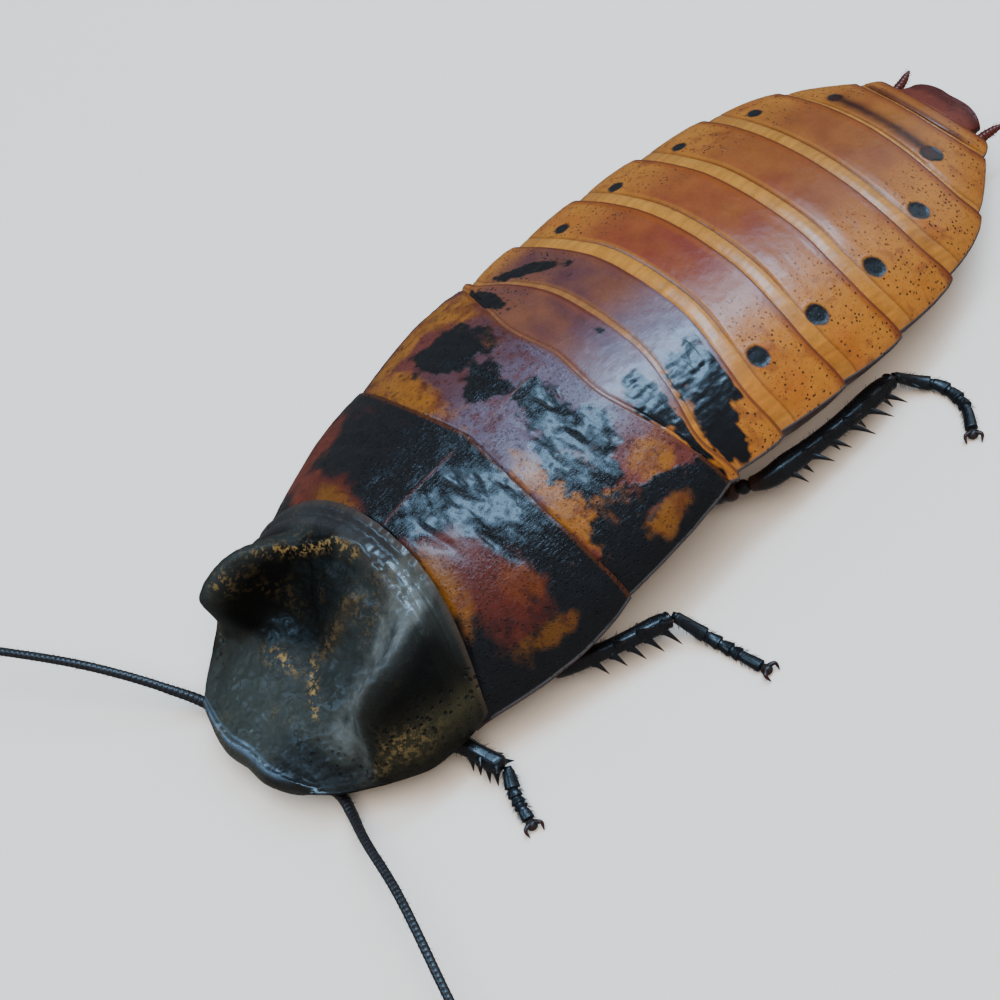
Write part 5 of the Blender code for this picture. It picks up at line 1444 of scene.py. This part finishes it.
class ROACH_OT_legs(bpy.types.Operator):
    """Six legs: hip, thigh, spined shank, and foot with claws"""
    bl_idname = "roach.legs"
    bl_label = "Legs"

    def execute(self, context):
        finish = black_finish(settings("colours"))
        rng = np.random.default_rng(SPINE_SEED)
        for word, side in (("left", 1), ("right", -1)):
            for pair in ("fore", "mid", "hind"):
                name = f"{pair}_{word}"
                forms = leg_forms(side, {**LEGS[pair], **LEGS[name]}, rng)
                for part, node, form in zip(("hip", "thigh", "shank", "foot"),
                                            ("coxa", "femur", "tibia", "tarsus"), forms):
                    make_piece(f"{part}_{name}", form, finish, [f"{node}_{name}"])
        return {"FINISHED"}


def antenna_forms(scape, whip):
    """Scape and the ringed whip: along it the radius swells once in every ring; hairs stand on the rings."""
    limbs = settings("limbs")
    black = tones()["black"]
    short = smooth_path(scape, 40)
    share = np.linspace(0, 1, 40)
    size = profile(share, SCAPE_RADII)
    base = tube(short, size, size, 24, -0.07 * bell(share, 0.72, 0.04)[:, None], (0.25, 0.2),
                tint=black * 1.5, marks=(0.3, 0.2, 0))
    points = np.asarray([onwards(smooth_path(scape, 5)), *whip])
    length = np.linalg.norm(np.diff(smooth_path(points, 400), axis=0), axis=1).sum()
    count = int(length / limbs.whip_ring)
    path = smooth_path(points, count * 6 + 1)
    share = np.linspace(0, 1, len(path))
    swell = np.abs(np.sin(share * count * np.pi)) ** 0.7
    radius = np.interp(share, WHIP_SHARES, WHIP_RADII) * (0.93 + 0.09 * swell)
    tint = paint(np.broadcast_to(black * 1.6, (len(path), 16, 3)),
                 (LIMB_TONES["ring_joint"], rise(swell, 0.35, 0.05)[:, None] * 0.6),
                 (LIMB_TONES["antenna_tip"], rise(share, 0.5, 1.0)[:, None] * 0.7))
    body = tube(path, radius, radius, 16, 0.0, (0.15, 0.3), start=short[-1] - short[-2], tint=tint,
                marks=(0.2, 0.0, 0.3))
    return base, joined([body, hairs(path, radius, 620, limbs.hair * 0.62, 41, 0.8, 0.03)])


class ROACH_OT_antennae(bpy.types.Operator):
    """Both antennae"""
    bl_idname = "roach.antennae"
    bl_label = "Antennae"

    def execute(self, context):
        finish = black_finish(settings("colours"))
        for word, paths in ANTENNAE.items():
            base, whip = antenna_forms(*paths)
            make_piece(f"scape_{word}", base, finish, [f"antenna_{word}_base"])
            make_piece(f"whip_{word}", whip, finish, [f"antenna_{word}_{k}" for k in (1, 2, 3)])
        return {"FINISHED"}


# Tail

def tail_form(half_widths, tops, thickness, stations, seed):
    """End plate: a shallow arch that tapers to a rolled and notched hind edge, with a painted highlight along
    its root: a pale band.
    """
    colour = tones()
    u = columns(91)
    share = np.linspace(0, 1, 60)[:, None]
    x = u * (half_widths[0] + (half_widths[1] - half_widths[0]) * share)
    front = np.maximum(margin("abdomen_8", x / half_widths[2]) + 0.05, stations[0])
    notch = 0.08 * bell(u, 0, 0.2)
    station = front + (stations[1] - 0.75 * u ** 4 - notch - front) * share
    arch = np.sqrt(np.clip(1 - u ** 2, 0, 1))
    lump = grain(flat_spots(x, station), 0.9, seed, 3)
    roll = 0.16 * bell(share, 0.93, 0.05) - 0.12 * bell(share, 0.12, 0.04) - 0.25 * rise(share, 0.97, 1.0)
    plain = tops[0] + (tops[1] - tops[0]) * share + 0.7 * arch
    top = plain + (roll + lump * 0.03) * arch ** 0.5
    low = plain - thickness * (1 - 0.5 * rise(share, 0.4, 1.0))
    base = paint(np.broadcast_to(colour["maroon"] * 0.75, x.shape + (3,)),
                 # Painted highlight: a pale band along the plate's root
                 (colour["band"] * 1.1, bell(share, 0.08, 0.05) * rise(np.abs(u), 0.95, 0.5)),
                 (colour["maroon"] * 0.3, rise(share + lump * 0.3, 0.3, 0.8) * 0.8),
                 (colour["orange"] * 0.8, rise(share, 0.95, 1.0) * 0.5))
    marks = np.stack(np.broadcast_arrays(0.5 + 0 * x, 0 * x, 0.9 + 0 * x), -1)
    return slab(pose(x, station, top), pose(x, station, low), base, marks)


def cercus_form(side):
    """Cercus: a short ringed cone with fine hairs."""
    path = smooth_path(posed(side, CERCUS_PATH), 73)
    share = np.linspace(0, 1, 73)
    radius = profile(share, CERCUS_RADII) * (0.84 + 0.16 * np.abs(np.sin(share * 8 * np.pi)) ** 0.6)
    body = tube(path, radius, radius, 28, 0.0, (0.15, 0.1), tint=tones()["maroon"] * 0.5, marks=(0.1, 0.3, 0))
    return joined([body, hairs(path, radius, 90, 0.3, 47, 0.5, 0.025)])


class ROACH_OT_tail(bpy.types.Operator):
    """Plates over and under the tail, and the cerci"""
    bl_idname = "roach.tail"
    bl_label = "Tail"

    def execute(self, context):
        finish = cuticle_finish("tail_horn", settings("colours"), 0.3)
        make_piece("tail_plate_upper", tail_form(SUPRA_ANAL_WIDTHS, SUPRA_ANAL_TOPS, 0.75, (70.9, 73.9), 81),
                   finish, ["supra_anal_plate"])
        make_piece("tail_plate_lower", tail_form(SUBGENITAL_WIDTHS, SUBGENITAL_TOPS, 0.95, (71.2, 73.3), 83),
                   finish, ["subgenital_plate"])
        for word, side in (("left", 1), ("right", -1)):
            make_piece(f"cercus_{word}_rings", cercus_form(side), finish, [f"cercus_{word}"])
        return {"FINISHED"}


# Stage

def camera_axes():
    """Rows are the camera's right, up and backward directions."""
    azimuth, elevation, roll = np.radians([CAMERA_AZIMUTH, CAMERA_ELEVATION, CAMERA_ROLL])
    right = np.array([np.cos(azimuth), np.sin(azimuth), 0])
    level = np.array([np.sin(azimuth), -np.cos(azimuth), 0])
    behind = level * np.cos(elevation) + np.array([0, 0, np.sin(elevation)])
    up = np.cross(behind, right)
    return np.array([np.cos(roll) * right + np.sin(roll) * up, np.cos(roll) * up - np.sin(roll) * right,
                     behind])


def add_softbox(name, direction, distance, width, length, power, colour, mirrored):
    """Rectangular area light that looks at the model from a direction; its length lies near Y. A light that
    is not mirrored only brightens, without a reflection of its own."""
    light = bpy.data.lights.new(name, "AREA")
    light.shape = "RECTANGLE"
    light.size, light.size_y = width, length
    light.energy = power
    light.color = colour
    made = bpy.data.objects.new(name, light)
    made.visible_glossy = mirrored
    bpy.context.scene.collection.objects.link(made)
    behind = np.array(direction, float) / np.linalg.norm(direction)
    over = np.array([0, 1.0, 0]) - behind * behind[1]
    if np.linalg.norm(over) < 0.3:
        over = np.array([0, 0, 1.0]) - behind * behind[2]
    over /= np.linalg.norm(over)
    turned = np.eye(4)
    turned[:3, 0], turned[:3, 1], turned[:3, 2] = np.cross(over, behind), over, behind
    turned[:3, 3] = behind * distance + np.array([0, -0.005, 0.008])
    made.matrix_world = Matrix(turned.tolist())


class ROACH_OT_stage(bpy.types.Operator):
    """Floor, soft lights, surroundings and the camera"""
    bl_idname = "roach.stage"
    bl_label = "Stage"

    def execute(self, context):
        stage = settings("stage")
        mesh = bpy.data.meshes.new("floor")
        mesh.from_pydata([(-1.5, -1.5, 0), (1.5, -1.5, 0), (1.5, 1.5, 0), (-1.5, 1.5, 0)], [], [(0, 1, 2, 3)])
        mesh.materials.append(floor_finish(stage.floor))
        floor = bpy.data.objects.new("floor", mesh)
        context.scene.collection.objects.link(floor)
        floor.visible_glossy = False
        for name, (direction, distance, width, length, share, colour, mirrored) in SOFTBOXES.items():
            add_softbox(name, direction, distance, width, length, stage.softbox * share, colour, mirrored)
        world = bpy.data.worlds.new("surroundings")
        world.use_nodes = True
        world.node_tree.nodes["Background"].inputs["Color"].default_value = (*stage.sky, 1)
        world.node_tree.nodes["Background"].inputs["Strength"].default_value = stage.sky_strength
        context.scene.world = world
        camera = bpy.data.cameras.new("camera")
        camera.sensor_width = 36
        camera.lens = stage.lens
        camera.clip_start = 0.005
        seen = bpy.data.objects.new("camera", camera)
        context.scene.collection.objects.link(seen)
        turned = np.eye(4)
        turned[:3, :3] = camera_axes().T
        turned[:3, 3] = np.array(CAMERA_PLACE) * MM
        seen.matrix_world = Matrix(turned.tolist())
        context.scene.camera = seen
        return {"FINISHED"}


class ROACH_PT_panel(bpy.types.Panel):
    """Lists the pieces and their settings"""
    bl_idname = "ROACH_PT_panel"
    bl_label = "Hissing cockroach"
    bl_space_type = "VIEW_3D"
    bl_region_type = "UI"
    bl_category = "Cockroach"

    def draw(self, context):
        for operator in OPERATORS:
            self.layout.operator(operator.bl_idname)
        for group in GROUPS:
            box = self.layout.box()
            for word in GROUPS[group].__annotations__:
                box.prop(settings(group), word)


GROUPS = {"plates": ROACH_PG_plates, "limbs": ROACH_PG_limbs, "colours": ROACH_PG_colours,
          "stage": ROACH_PG_stage}
OPERATORS = (ROACH_OT_stage, ROACH_OT_abdomen, ROACH_OT_thorax, ROACH_OT_head, ROACH_OT_antennae,
             ROACH_OT_legs, ROACH_OT_tail)


def register():
    """Adds the classes and gives the scene their settings."""
    for made in (*GROUPS.values(), *OPERATORS, ROACH_PT_panel):
        bpy.utils.register_class(made)
    for group, kind in GROUPS.items():
        setattr(bpy.types.Scene, "roach_" + group, PointerProperty(type=kind))


def unregister():
    """Takes the settings and the classes away again."""
    for group in GROUPS:
        delattr(bpy.types.Scene, "roach_" + group)
    for made in reversed((*GROUPS.values(), *OPERATORS, ROACH_PT_panel)):
        bpy.utils.unregister_class(made)


def main():
    """Builds the stage and every piece."""
    register()
    for operator in OPERATORS:
        group, name = operator.bl_idname.split(".")
        getattr(getattr(bpy.ops, group), name)()


if __name__ == "__main__":
    main()
